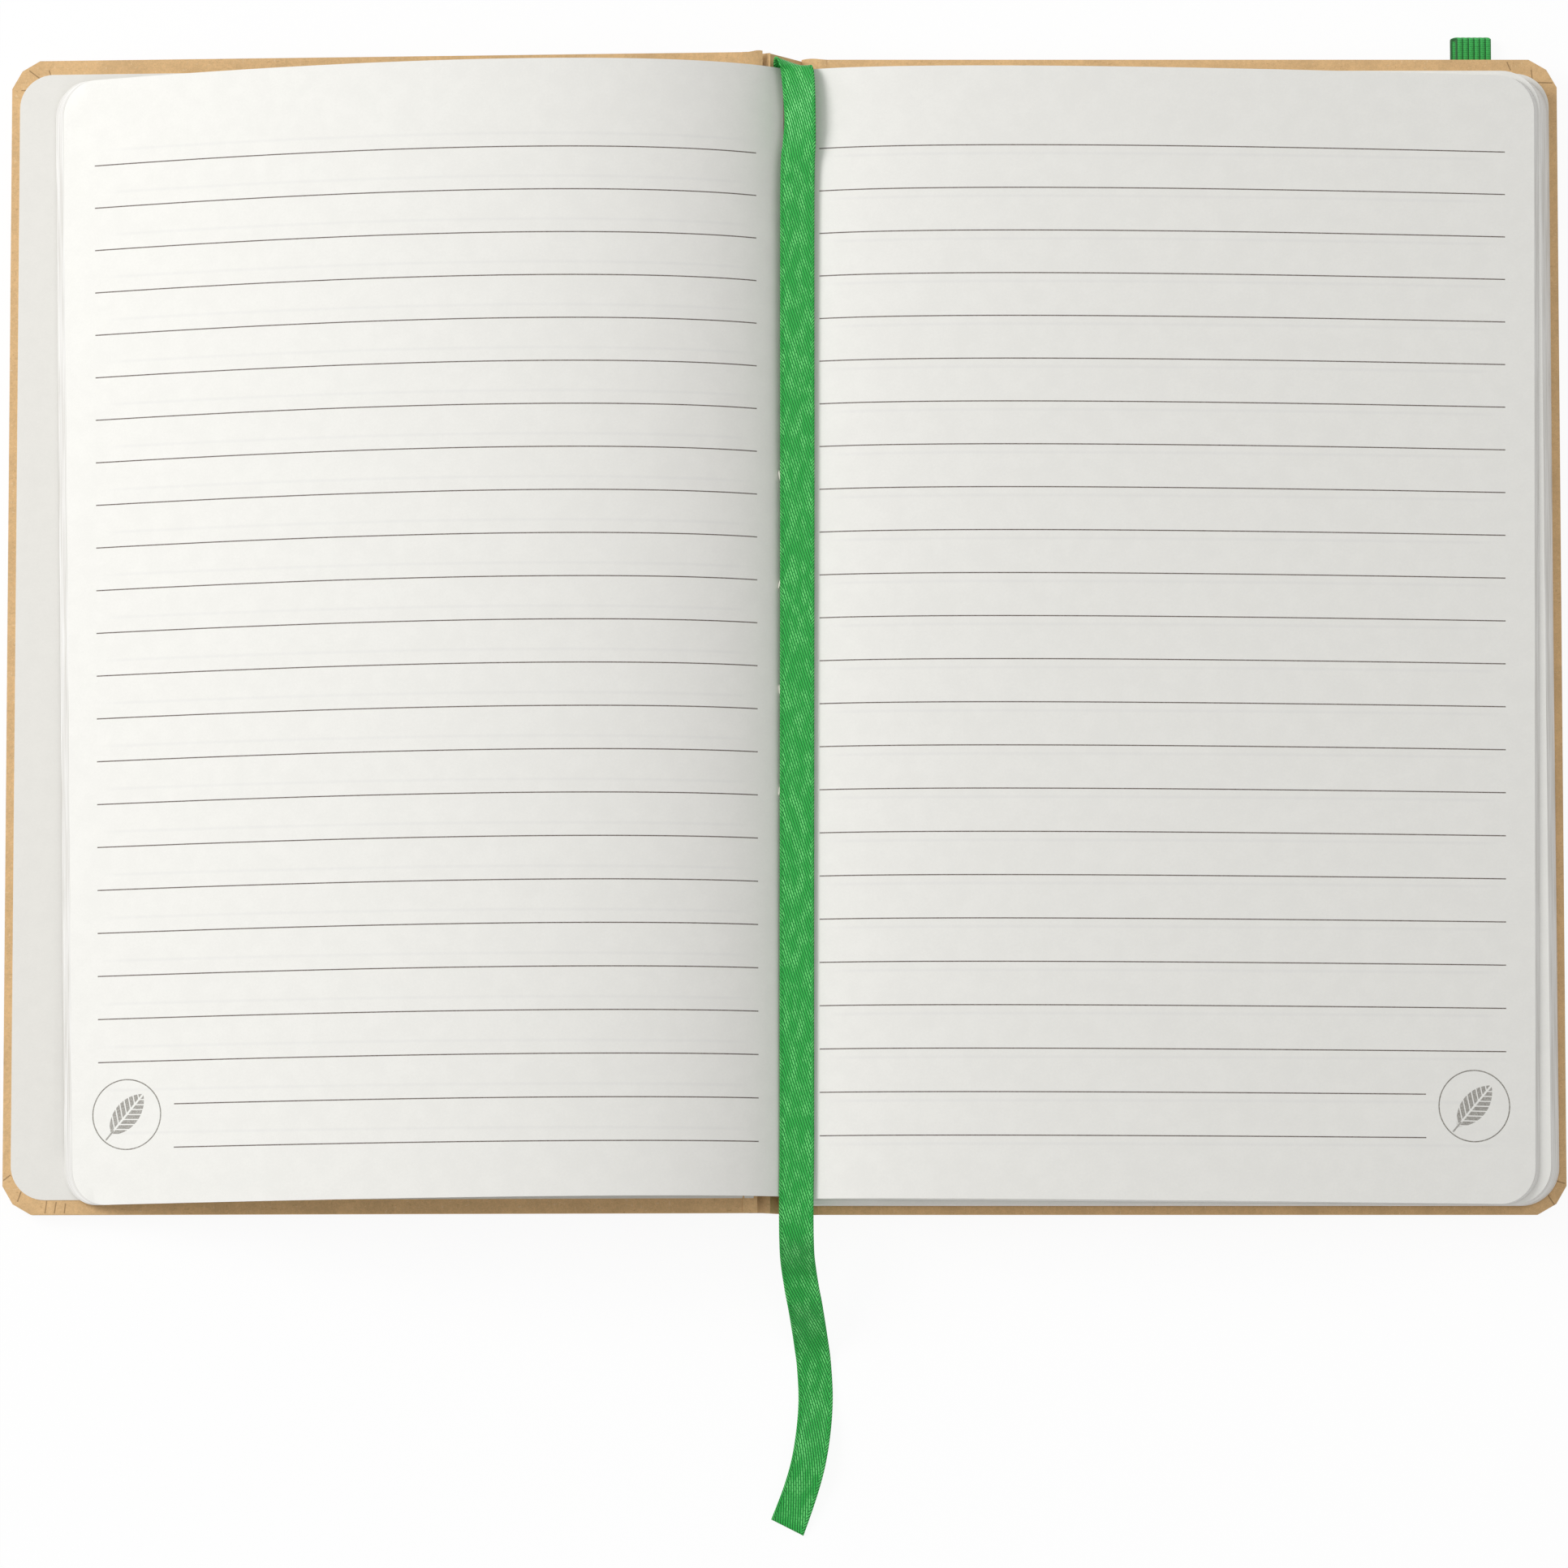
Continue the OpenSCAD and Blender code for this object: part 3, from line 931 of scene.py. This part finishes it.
@dataclass(frozen=True)
class Book:
    """Sizes that the pieces share, as the CAD model has them."""

    cover_w: float = 135 * MM
    cover_h: float = 210.8 * MM
    cover_t: float = 2.65 * MM
    kraft_t: float = 0.25 * MM
    endpaper_t: float = 0.15 * MM
    cover_r: float = 7 * MM
    turn_in: float = 10 * MM
    fore_margin: float = 1.5 * MM
    head_margin: float = 2.6 * MM
    half_spread: float = 141.1 * MM
    front_rise: float = 9.5 * MM
    lift: float = 1.8 * MM
    stack_z: float = 4.55 * MM
    block_t: float = 5.6 * MM
    open_t: float = 0.8 * MM
    back_w: float = 8 * MM
    spine_lean: float = math.radians(55)
    back_x: float = 4 * MM
    gutter_out: float = 1.2 * MM
    hump_run: float = 8 * MM
    hump_climb: float = 5.2 * MM
    hump_crest_x: float = 36 * MM
    hump_crest: float = 13.2 * MM
    arch_run: float = 13 * MM
    arch_climb: float = 14 * MM
    arch_crest_x: float = 55 * MM
    arch_crest: float = 23.4 * MM
    arch_lag: float = 0.4 * MM
    fore_square: float = 1.5 * MM
    fore_slant: float = 2 * MM
    fan_back: float = 2 * MM
    turned_square: float = 9.7 * MM
    fanned: float = 1.5 * MM
    gap: float = 0.1 * MM
    skew: float = math.radians(0.6)

    @property
    def front_slope(self) -> float:
        """Slope of the front cover, in radians."""
        return math.asin(self.front_rise / self.cover_w)

    @property
    def front_edge_x(self) -> float:
        """Where the front cover's inner edge lies along X."""
        slope = self.front_slope
        paste = self.cover_t - self.endpaper_t
        return self.cover_w * math.cos(slope) + paste * math.sin(slope) - self.half_spread

    @property
    def stack_top(self) -> float:
        """Height of the top of the shut sections."""
        return self.stack_z + self.block_t

    @property
    def fore_x(self) -> float:
        """Where the lowest leaf's fore edge lies along X."""
        return self.half_spread - self.fore_square

    @property
    def back_top(self) -> Vector:
        """Upper edge of the sewn back, in X and Z."""
        lean = self.spine_lean
        return Vector((
            self.back_x - self.back_w * math.cos(lean),
            self.stack_z + self.back_w * math.sin(lean),
        ))

    @property
    def gutter(self) -> Vector:
        """Bottom of the gutter, in X and Z."""
        lean = self.spine_lean
        up = Vector((-math.cos(lean), math.sin(lean)))
        out = Vector((math.sin(lean), math.cos(lean)))
        return self.back_top - up * self.open_t + out * self.gutter_out

    def inner_face(self, x: float) -> float:
        """Returns the height of the front cover's inner face at a place along X."""
        slope = self.front_slope
        climb = (x - self.front_edge_x) * math.tan(slope)
        return self.front_rise + self.cover_t / math.cos(slope) + climb

    def front_seat(self) -> Matrix:
        """Returns the placement of a cover drawn flat, for the front cover."""
        return (
            Matrix.Translation((self.front_edge_x, ROW_Y, self.front_rise))
            @ Matrix.Rotation(-self.front_slope, 4, "Y")
            @ Matrix.Scale(-1, 4, (1, 0, 0))
        )

    def back_seat(self) -> Matrix:
        """Returns the placement of a cover drawn flat, for the back cover."""
        return Matrix.Translation((self.half_spread - self.cover_w, ROW_Y, self.lift))

    def hump(self) -> PageCurve:
        """Returns the profile of the right-hand page."""
        g = self.gutter
        return PageCurve((
            tuple(g),
            (g.x + self.hump_run, g.y + self.hump_climb),
            (self.hump_crest_x, self.stack_top + self.open_t + self.hump_crest),
            (
                self.fore_x - self.fore_slant - self.fan_back,
                self.stack_top + self.gap + self.open_t,
            ),
        ))

    def arch(self) -> PageCurve:
        """Returns the profile of the left-hand page."""
        g = self.gutter
        x = self.turned_square - self.half_spread + self.fanned
        return PageCurve((
            tuple(g),
            (g.x - self.arch_run, g.y + self.arch_climb),
            (g.x - self.arch_crest_x, g.y + self.arch_crest),
            (x, self.inner_face(x) + self.gap + self.open_t),
        ))

    def under(self) -> PageCurve:
        """Returns the underside of the turned leaves."""
        g, b = self.gutter, self.back_top
        x = self.turned_square - self.half_spread
        return PageCurve((
            (b.x - self.arch_lag, b.y),
            (b.x - self.arch_run - self.arch_lag, b.y + self.arch_climb - self.open_t),
            (g.x - self.arch_crest_x - self.arch_lag / 2, g.y + self.arch_crest - self.open_t),
            (x, self.inner_face(x) + self.gap),
        ))


# Sub-assemblies


@dataclass
class Covers:
    """The kraft-covered boards, the spine and the pastedowns."""

    book: Book
    frame: dict
    kraft: bpy.types.Material = field(default_factory=lambda: Kraft().build())
    endpaper: bpy.types.Material = field(
        default_factory=lambda: PlainPaper("endpaper", srgb(235, 233, 227), 0.975).build()
    )
    strip_t: float = 0.27 * MM
    strip_row: float = 2 * MM
    torn_share: float = 1 / 6
    torn_arc: float = 0.62 * math.pi

    def _step(self, along: float, y: float) -> float:
        """Returns how far the pasted endpaper sinks inside the turned-in kraft.

        Args:
            along: Share of the way from the inner edge to the fore edge.
            y: Place up the cover.

        Returns:
            The drop, below zero.
        """
        book = self.book
        soft = 1.1 * MM
        far = along * (book.cover_w - book.fore_margin)
        in_x = (book.cover_w - book.turn_in - far) / soft
        in_y = (book.cover_h / 2 - book.turn_in - abs(y)) / soft
        return -book.kraft_t * ease(min(in_x, in_y) + 0.5)

    def _lining(self, name: str, node: str, body: Body, seat: Matrix, free: float) -> None:
        """Pastes an endpaper over a board, with the turned-in kraft's edge showing softly.

        Args:
            name: The piece's name.
            node: The CAD node that it stands for.
            body: The body that it rides.
            seat: Placement of a cover drawn flat.
            free: Endpaper past the cover's inner edge.
        """
        book = self.book
        top = book.cover_t
        reach = book.cover_w - book.fore_margin

        def flat(z: float) -> PageCurve:
            """Returns a straight profile at a height."""
            span = reach + free
            return PageCurve(tuple((span * i / 3 - free, z) for i in range(4)))

        plan = LeafPlan(
            height=book.cover_h - 2 * book.head_margin, corner=book.cover_r - 0.8 * MM,
            columns=120, rows=110, ease=1.0,
        )
        low = flat(top - book.endpaper_t)
        sheet = LeafBundle(name, flat(top), low, plan, ripple=self._step, seat=seat)
        piece = new_piece(name, sheet.mesh(), (self.endpaper, self.endpaper))
        sharpen(piece)
        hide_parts(node)
        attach(piece, body.value)
        LOG.info("built %s", name)

    def _strip(
        self, name: str, profile: Sequence[Point2], low: float, high: float, flare: float = 0.0
    ) -> bpy.types.Object:
        """Lays a strip of kraft along Y.

        Args:
            name: The piece's name.
            profile: Its underside in X and Z, in millimetres.
            low: Its end nearer the tail.
            high: Its end nearer the head.
            flare: Reach of a torn end past the outer of the two.

        Returns:
            The piece.
        """
        bm = bmesh.new()
        per_span = 6
        steps = per_span * (len(profile) - 1)
        rows = max(12, round((high - low) / self.strip_row))
        bmesh.ops.create_grid(bm, x_segments=steps, y_segments=rows, size=0.5)
        run = smooth_path(profile, per_span)
        outer = 1 if high > 0 else -1
        for vert in bm.verts:
            across = vert.co.x + 0.5
            x, z = run[round(across * steps)]
            y = low + (high - low) * (vert.co.y + 0.5)
            torn = max(0.0, 1 - abs(vert.co.y * outer - 0.5) / self.torn_share)
            y += outer * flare * torn * max(0.0, math.sin(self.torn_arc * across)) ** 3
            vert.co = Vector((x * MM, y + ROW_Y, z * MM))
        raised = bmesh.ops.extrude_face_region(bm, geom=bm.faces[:])
        up = [v for v in raised["geom"] if isinstance(v, bmesh.types.BMVert)]
        bmesh.ops.translate(bm, vec=(0, 0, self.strip_t), verts=up)
        outward(bm)
        piece = new_piece(name, bm, (self.kraft,))
        sharpen(piece)
        LOG.info("built %s", name)
        return piece

    def _fold(
        self, name: str, profile: Sequence[Point2]
    ) -> None:
        """Bridges a kraft fold between the spine and a cover.

        Args:
            name: The piece's name.
            profile: Underside of the fold, in X and Z.
        """
        half = self.book.cover_h / 2
        piece = self._strip(name, profile, -half, half)
        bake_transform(piece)

    def _tabs(self) -> None:
        """Ends the turned-in kraft of both covers at the spine, at the head and the tail."""
        half, inner = self.book.cover_h / 2, self.book.cover_h / 2 - self.book.turn_in
        head = ((-7.6, 11.84), (-6.2, 11.78), (-5.0, 11.7), (-3.9, 11.45))
        tail = ((-7.4, 11.84), (-6.2, 11.78), (-5.5, 11.7), (-4.8, 11.6))
        back = ((7.8, 4.1), (6.6, 4.15), (5.2, 3.4), (3.2, 2.2))
        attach(self._strip("front_tab_head", head, inner, half, 0.35 * MM), Body.FRONT.value)
        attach(self._strip("front_tab_tail", tail, -half, -inner), Body.FRONT.value)
        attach(self._strip("back_tab_head", back, inner, half, 0.35 * MM), Body.BACK.value)
        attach(self._strip("back_tab_tail", back, -half, -inner), Body.BACK.value)

    def dress_all(self) -> None:
        """Finishes the boards, the spine and their papers."""
        for node in ("front_cover_paper", "back_cover_paper", "spine_paper"):
            dress(node, self.kraft, self.frame)
        board = PlainPaper("greyboard", srgb(150, 144, 132), 0.8, 500.0).build()
        for node in ("front_board", "back_board", "spine_strip"):
            dress(node, board, self.frame)
        book = self.book
        self._lining("front_lining", "front_pastedown", Body.FRONT, book.front_seat(), MM)
        self._lining("back_lining", "back_pastedown", Body.BACK, book.back_seat(), 0.0)
        front = (
            (-2.5, 10.85), (-3.2, 10.5), (-3.95, 10.02), (-4.5, 9.74), (-5.2, 9.6), (-5.9, 9.6),
        )
        back = ((3.85, 0.66), (4.2, 0.89), (4.7, 0.89), (5.05, 1.11))
        self._fold("front_fold", front)
        self._fold("back_fold", back)
        self._tabs()


@dataclass
class Pages:
    """The shut sections and the leaves at the opening."""

    book: Book
    frame: dict
    left_rules: Rules = field(default_factory=lambda: Rules(
        side=Side.LEFT, first_y=83.9 * MM, slope=0.00745,
        start_x=-124.6 * MM, start_lean=-0.0115, end_x=-4.8 * MM, end_lean=-0.003,
        mark=(-118.3 * MM, -90.0 * MM), mark_r=6.28 * MM, short_x=-109.6 * MM, ghost=2.2 * MM,
    ))
    right_rules: Rules = field(default_factory=lambda: Rules(
        side=Side.RIGHT, first_y=85.0 * MM, slope=-0.00272,
        start_x=6.4 * MM, start_lean=0.0, end_x=130.3 * MM, end_lean=0.0067,
        mark=(123.9 * MM, -88.7 * MM), mark_r=6.4 * MM, short_x=115.2 * MM, ghost=-1.6 * MM,
    ))
    edges: bpy.types.Material = field(
        default_factory=lambda: LeafEdges("leaf_edges", True, 30.0).build()
    )
    split: float = 0.045
    turned_keep: float = 0.06
    root_keep: float = 0.12
    fan_keep: float = 0.1
    right_twist: float = math.radians(-0.42)
    crisp: float = 25.0
    knots: tuple[Point2, ...] = ((28.0, 8), (8.4, -14), (-10.9, 6), (-29.1, -8))
    knot_x: float = -0.75 * MM
    knot_z: float = 13.25 * MM
    knot_r: float = 0.2 * MM
    knot_stretch: float = 5.0

    def _place(
        self, bundle: LeafBundle, paper: bpy.types.Material, body: Body, node: str
    ) -> bpy.types.Object:
        """Turns a bundle into a piece on its body.

        Args:
            bundle: The leaves.
            paper: The page's material.
            body: The body that it rides.
            node: The CAD node that it stands for.

        Returns:
            The piece.
        """
        piece = new_piece(bundle.name, bundle.mesh(), (paper, self.edges))
        sharpen(piece, self.crisp)
        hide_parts(node)
        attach(piece, body.value)
        LOG.info("built %s", piece.name)
        return piece

    def _press(self, piece: bpy.types.Object) -> None:
        """Gives a piece on the block its own copy of its mesh data."""
        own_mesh(piece)

    def build(self) -> None:
        """Builds the leaves, the lining and the sewing."""
        book = self.book
        left = PagePaper("ruled_left", self.left_rules).build()
        right = PagePaper("ruled_right", self.right_rules).build()
        turned = LeafPlan(twist=book.skew, slip=1.4 * MM, fore_lean=-0.006)
        arch = LeafBundle("turned_leaves", book.arch(), book.under(), turned, start=self.split)
        piece = self._place(arch, left, Body.FRONT, "open_leaves")
        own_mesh(piece)
        root = LeafBundle("turned_leaves_root", book.arch(), book.under(), turned, end=self.split)
        self._press(self._place(root, left, Body.BLOCK, "open_leaves"))

        start, level = book.gutter, book.stack_top + book.gap
        fore = book.fore_x - book.fore_slant
        floor = PageCurve((
            (start.x + 0.3 * MM, level), (start.x + 10 * MM, level), (60 * MM, level),
            (fore - 1.2 * MM, level),
        ))
        plan = LeafPlan(twist=self.right_twist, slip=MM)
        fan = LeafBundle("right_leaves", book.hump(), floor, plan)
        self._press(self._place(fan, right, Body.BLOCK, "open_leaves"))

        plain = PagePaper("plain_page").build()
        near = book.back_top.x + 1.6 * MM
        top = PageCurve(tuple((near + (fore - near) * i / 3, book.stack_top) for i in range(4)))
        bottom = PageCurve(tuple(
            (book.back_x + (book.fore_x - book.back_x) * i / 3, book.stack_z) for i in range(4)
        ))
        stack = LeafPlan(height=206.2 * MM, corner=7 * MM, slip=0.6 * MM, fore_lean=-0.002)
        shut = LeafBundle("shut_leaves", top, bottom, stack)
        self._place(shut, plain, Body.BLOCK, "pages")
        dress("spine_lining", PlainPaper("lining", srgb(226, 216, 192), 0.9).build(), self.frame)
        thread = PlainPaper("thread", srgb(240, 236, 226), 0.9).build()
        dress("sewing_thread", thread, self.frame)
        self._knots(thread)

    def _knots(self, thread: bpy.types.Material) -> None:
        """Shows the sewing where it comes up beside the ribbon."""
        bm = bmesh.new()
        for y, turn in self.knots:
            made = bmesh.ops.create_uvsphere(bm, u_segments=12, v_segments=8, radius=self.knot_r)
            place = Matrix.Translation((self.knot_x, y * MM + PHOTO_Y, self.knot_z))
            turned = Matrix.Rotation(math.radians(turn), 4, "Z")
            long = Matrix.Diagonal((1, self.knot_stretch, 1, 1))
            bmesh.ops.transform(bm, matrix=place @ turned @ long, verts=made["verts"])
        piece = new_piece("sewing_knots", bm, (thread,))
        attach(piece, Body.BLOCK.value)
        self._press(piece)
        LOG.info("built %s", piece.name)


@dataclass
class Strap:
    """A woven strip that follows a path, with a face across and one along."""

    name: str
    path: list[Vector]
    leans: list[float]
    width: float
    thick: float
    edge_bulge: float = 0.0
    edge_w: float = 0.0
    across: int = 20
    ribs: int = 0
    rib_depth: float = 0.0
    slants: list[float] = field(default_factory=list)

    def _profile(self, share: float) -> float:
        """Returns the half thickness at a place across, from -1 to 1."""
        half = self.thick / 2
        if self.ribs:
            phase = (share + 1) / 2 * self.ribs
            rise = abs(math.sin(math.pi * phase))
            half = half - self.rib_depth + self.rib_depth * rise**0.7
        if self.edge_w:
            near = (1 - abs(share)) * self.width / 2
            if near < self.edge_w:
                half += self.edge_bulge * math.sin(math.pi * near / self.edge_w)
        return half

    def mesh(self) -> bmesh.types.BMesh:
        """Returns the strip's closed mesh, with metres across and along as its UVs."""
        bm = bmesh.new()
        steps = len(self.path) - 1
        bmesh.ops.create_grid(bm, x_segments=self.across, y_segments=steps, size=0.5)
        where = {
            v: (v.co.x * 2, round((v.co.y + 0.5) * steps)) for v in bm.verts
        }
        known = {(round(v.co.x, 6), round(v.co.y, 6)): w for v, w in where.items()}
        cut = bmesh.ops.extrude_face_region(bm, geom=bm.faces[:])
        lower = {v for v in cut["geom"] if isinstance(v, bmesh.types.BMVert)}
        for vert in lower:
            where[vert] = known[(round(vert.co.x, 6), round(vert.co.y, 6))]
        lengths = [0.0]
        for a, b in zip(self.path, self.path[1:]):
            lengths.append(lengths[-1] + (b - a).length)
        frames = []
        for i, point in enumerate(self.path):
            ahead = (self.path[min(i + 1, steps)] - self.path[max(i - 1, 0)]).normalized()
            raw = Vector((math.cos(self.leans[i]), 0, math.sin(self.leans[i])))
            side = (raw - ahead * raw.dot(ahead)).normalized()
            frames.append((point, side, side.cross(ahead).normalized()))
        uv = bm.loops.layers.uv.new("UVMap")
        for vert, (share, step) in where.items():
            point, side, face = frames[step]
            sign = -1 if vert in lower else 1
            vert.co = point + side * share * self.width / 2 + face * sign * self._profile(share)
            if self.slants:
                vert.co.y -= share * self.slants[step]
        for polygon in bm.faces:
            for loop in polygon.loops:
                share, step = where[loop.vert]
                loop[uv].uv = (share * self.width / 2, lengths[step])
        outward(bm)
        return bm


def smooth_path(points: Sequence[Sequence[float]], per_span: int) -> list[list[float]]:
    """Runs a smooth curve through points, which may hold more than three numbers.

    Args:
        points: What the curve passes through.
        per_span: Steps between two points.

    Returns:
        Points along the curve.
    """
    listed = []
    for i in range(len(points) - 1):
        p0, p1 = points[max(i - 1, 0)], points[i]
        p2, p3 = points[i + 1], points[min(i + 2, len(points) - 1)]
        for k in range(per_span):
            t = k / per_span
            listed.append([
                0.5 * (2 * b + (c - a) * t + (2 * a - 5 * b + 4 * c - d) * t * t
                       + (3 * b - a - 3 * c + d) * t**3)
                for a, b, c, d in zip(p0, p1, p2, p3)
            ])
    listed.append(list(points[-1]))
    return listed


@dataclass
class Ribbon:
    """The satin marker, from the sewn back over the head to its loose tail."""

    width: float = 6.2 * MM
    thick: float = 0.3 * MM
    route: tuple[tuple[float, float, float, float, float], ...] = (
        (0.9, 80.6, 7.2, -55, 0), (0.9, 92, 7.2, -55, 0), (0.9, 98.5, 7.2, -55, 0.2),
        (0.9, 102, 8, -50, 0.8), (1.1, 103.3, 9.8, -36, 1.1), (1.4, 103.6, 11.8, -14, 1.1),
        (1.9, 103.2, 13.5, 4, 1), (2.4, 102, 14.4, 12, 0.7), (2.7, 98.5, 14.6, 21, 0.2),
        (2.9, 93, 14.6, 27, 0), (2.75, 88.5, 14.4, 18, 0), (2.45, 83, 14.2, 5, 0),
        (2.4, 60, 14.1, 3, 0), (2.4, 20, 14.1, 3, 0), (2.35, -20, 14.1, 3, 0),
        (2.3, -60, 14.1, 3, 0),
        (2.3, -92, 14.1, 3, 0), (2.2, -102, 14.1, 3, 0), (2.2, -107, 13.9, 4, 0),
        (2.25, -110, 13.2, 3, 0),
        (2.4, -113, 10.8, 0, 0), (2.8, -116, 8.3, -3, 0), (3.3, -119, 7.5, -4, 0),
        (3.8, -121.5, 6.7, -3, 0), (4.4, -125, 3.9, 0, 0), (4.95, -128.5, 1.4, 0, 0),
        (5.4, -132, 0.45, 0, 0), (5.7, -138, 0.6, 0, 0), (5.3, -144, 1.5, 0, 0),
        (4.3, -150, 2, 0, 0),
        (2.7, -155.5, 1.3, 0, 0.1), (0.6, -161.2, 0.4, 0, 0.4),
    )

    def build(self) -> None:
        run = smooth_path(self.route, 8)
        path = [Vector((p[0] * MM, p[1] * MM + PHOTO_Y, p[2] * MM)) for p in run]
        strap = Strap(
            "ribbon", path, [math.radians(p[3]) for p in run], self.width, self.thick,
            edge_bulge=0.09 * MM, edge_w=0.55 * MM, across=36,
            slants=[p[4] * MM for p in run],
        )
        piece = new_piece(strap.name, strap.mesh(), (SatinRibbon().build(),))
        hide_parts("ribbon_marker")
        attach(piece, Body.BLOCK.value)
        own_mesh(piece)


@dataclass
class ElasticBand:
    """The slack closure band, with its loop past the head of the back cover."""

    book: Book
    width: float = 6.2 * MM
    thick: float = 0.8 * MM
    inset: float = 16.2 * MM
    upper_z: float = 1.3 * MM
    leg_gap: float = 0.9 * MM
    lag: float = 1.2 * MM
    lag_y: float = 70 * MM
    lag_run: float = 30 * MM
    sway: float = 1.4 * MM
    sway_y: float = 95 * MM
    sway_run: float = 8 * MM

    def build(self) -> None:
        """Builds the band along its whole route."""
        x = (self.book.half_spread - self.inset) / MM
        tail_y, head_y, loop_y = -96.4, 96.4, 109.35
        top, tuck = 3.65, 15.6
        upper, lower, bend = self.upper_z / MM, (self.upper_z - self.leg_gap) / MM, 0.38
        legs = [
            (x, head_y - tuck, top), (x, head_y - 1.0, top), (x, head_y - 0.1, top - 0.35),
            (x, head_y, top - 1.0), (x, head_y + 0.1, upper + 0.4), (x, head_y + 1.0, upper),
        ]
        legs += [(x, y, upper) for y in (100, 104, 107)]
        legs += [
            (x, loop_y, upper - 0.02), (x, loop_y + bend, upper - 0.3),
            (x, loop_y + bend, lower + 0.25), (x, loop_y, lower),
        ]
        legs += [(x, y, lower) for y in (107, 104, 96, 80, 40, 0, -40, -80, -94)]
        legs += [
            (x, tail_y + 0.4, lower), (x, tail_y, lower + 0.6), (x, tail_y, top - 0.8),
            (x, tail_y + 0.4, top - 0.1), (x, tail_y + 1.5, top), (x, tail_y + tuck, top),
        ]
        run = smooth_path(legs, 5)
        path = [Vector((p[0] * MM, p[1] * MM + ROW_Y, p[2] * MM)) for p in run]
        strap = Strap(
            "elastic", path, [0.0] * len(path), self.width, self.thick,
            across=60, ribs=6, rib_depth=0.22 * MM,
        )
        bm = strap.mesh()
        for vert in bm.verts:
            under = min(1.0, max(0.0, (self.upper_z - vert.co.z) / self.leg_gap))
            vert.co.x -= self.lag * ease((vert.co.y - self.lag_y) / self.lag_run) * under
            vert.co.x += self.sway * ease((vert.co.y - self.sway_y) / self.sway_run)
        piece = new_piece(strap.name, bm, (ElasticWeave().build(),))
        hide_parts("elastic_band")
        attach(piece, Body.BACK.value)
        LOG.info("built %s", piece.name)


@dataclass(frozen=True)
class Lamp:
    """One soft square lamp, aimed at the book."""

    name: str
    place: tuple[float, float, float]
    size: float
    power: float

    def hang(self) -> None:
        """Puts the lamp into the scene."""
        light = bpy.data.lights.new(self.name, "AREA")
        light.size, light.energy = self.size, self.power
        lamp = bpy.data.objects.new(self.name, light)
        lamp.location = self.place
        lamp.rotation_euler = (-Vector(self.place)).to_track_quat("-Z", "Y").to_euler()
        bpy.context.scene.collection.objects.link(lamp)


@dataclass
class PhotoSet:
    """The camera, the lamps and the white surroundings."""

    aim: tuple[float, float, float] = (0.0, -0.0299, 0.0045)
    stand: tuple[float, float, float] = (0.0, -0.1674, 1.4701)
    lens: float = 186.6
    sensor_w: float = 36.0
    room_light: float = 0.52
    floor_glow: float = 0.92
    lamps: tuple[Lamp, ...] = (
        Lamp("key_lamp", (-1.0, 0.45, 0.75), 0.6, 9.8),
        Lamp("fill_lamp", (0.9, 0.2, 1.8), 1.4, 2.0),
        Lamp("top_lamp", (0.05, 0.1, 1.6), 0.3, 1.0),
    )

    def build(self) -> None:
        """Builds the camera and looks through it."""
        data = bpy.data.cameras.new("photo_camera")
        data.lens, data.sensor_width = self.lens, self.sensor_w
        data.sensor_fit = "HORIZONTAL"
        camera = bpy.data.objects.new("photo_camera", data)
        camera.location = self.stand
        look = Vector(self.aim) - Vector(self.stand)
        camera.rotation_euler = look.to_track_quat("-Z", "Y").to_euler()
        bpy.context.scene.collection.objects.link(camera)
        bpy.context.scene.camera = camera

    def surround(self) -> None:
        """Lays the floor and hangs the lamps."""
        bm = bmesh.new()
        bmesh.ops.create_grid(bm, x_segments=1, y_segments=1, size=2.0)
        bmesh.ops.translate(bm, vec=(0, 0, -0.1 * MM), verts=bm.verts[:])
        floor = new_piece("floor", bm, (self._white(),))
        world = bpy.data.worlds.new("soft_room")
        world.use_nodes = True
        world.node_tree.nodes["Background"].inputs[0].default_value = (1, 1, 1, 1)
        world.node_tree.nodes["Background"].inputs[1].default_value = self.room_light
        bpy.context.scene.world = world
        for lamp in self.lamps:
            lamp.hang()

    def _white(self) -> bpy.types.Material:
        """Returns the floor's material: white to the camera, with the soft shadow kept."""
        bench = Bench("studio_white")
        shader = bench.node(
            "ShaderNodeBsdfPrincipled", None,
            {"Base Color": (1.0, 1.0, 1.0), "Roughness": 0.9, "Specular IOR Level": 0.0},
        )
        glow = bench.node("ShaderNodeEmission", None, {"Color": (1.0, 1.0, 1.0), "Strength": 1.0})
        path = bench.node("ShaderNodeLightPath")
        seen = Wire(bench, path.outputs["Is Camera Ray"]).most(
            Wire(bench, path.outputs["Is Glossy Ray"])
        )
        mixed = bench.node(
            "ShaderNodeMixShader", None,
            {0: seen * self.floor_glow, 1: shader.outputs[0], 2: glow.outputs[0]},
        )
        bench.node("ShaderNodeOutputMaterial", None, {"Surface": mixed.outputs[0]})
        return bench.material


def main() -> None:
    """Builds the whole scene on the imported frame."""
    logging.basicConfig(level=logging.INFO, format="%(name)s: %(message)s")
    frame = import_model()
    bpy.context.scene.view_settings.view_transform = "Standard"
    book = Book()
    studio = PhotoSet()
    studio.build()
    Ribbon().build()
    Covers(book, frame).dress_all()
    Pages(book, frame).build()
    ElasticBand(book).build()
    studio.surround()


if __name__ == "__main__":
    main()
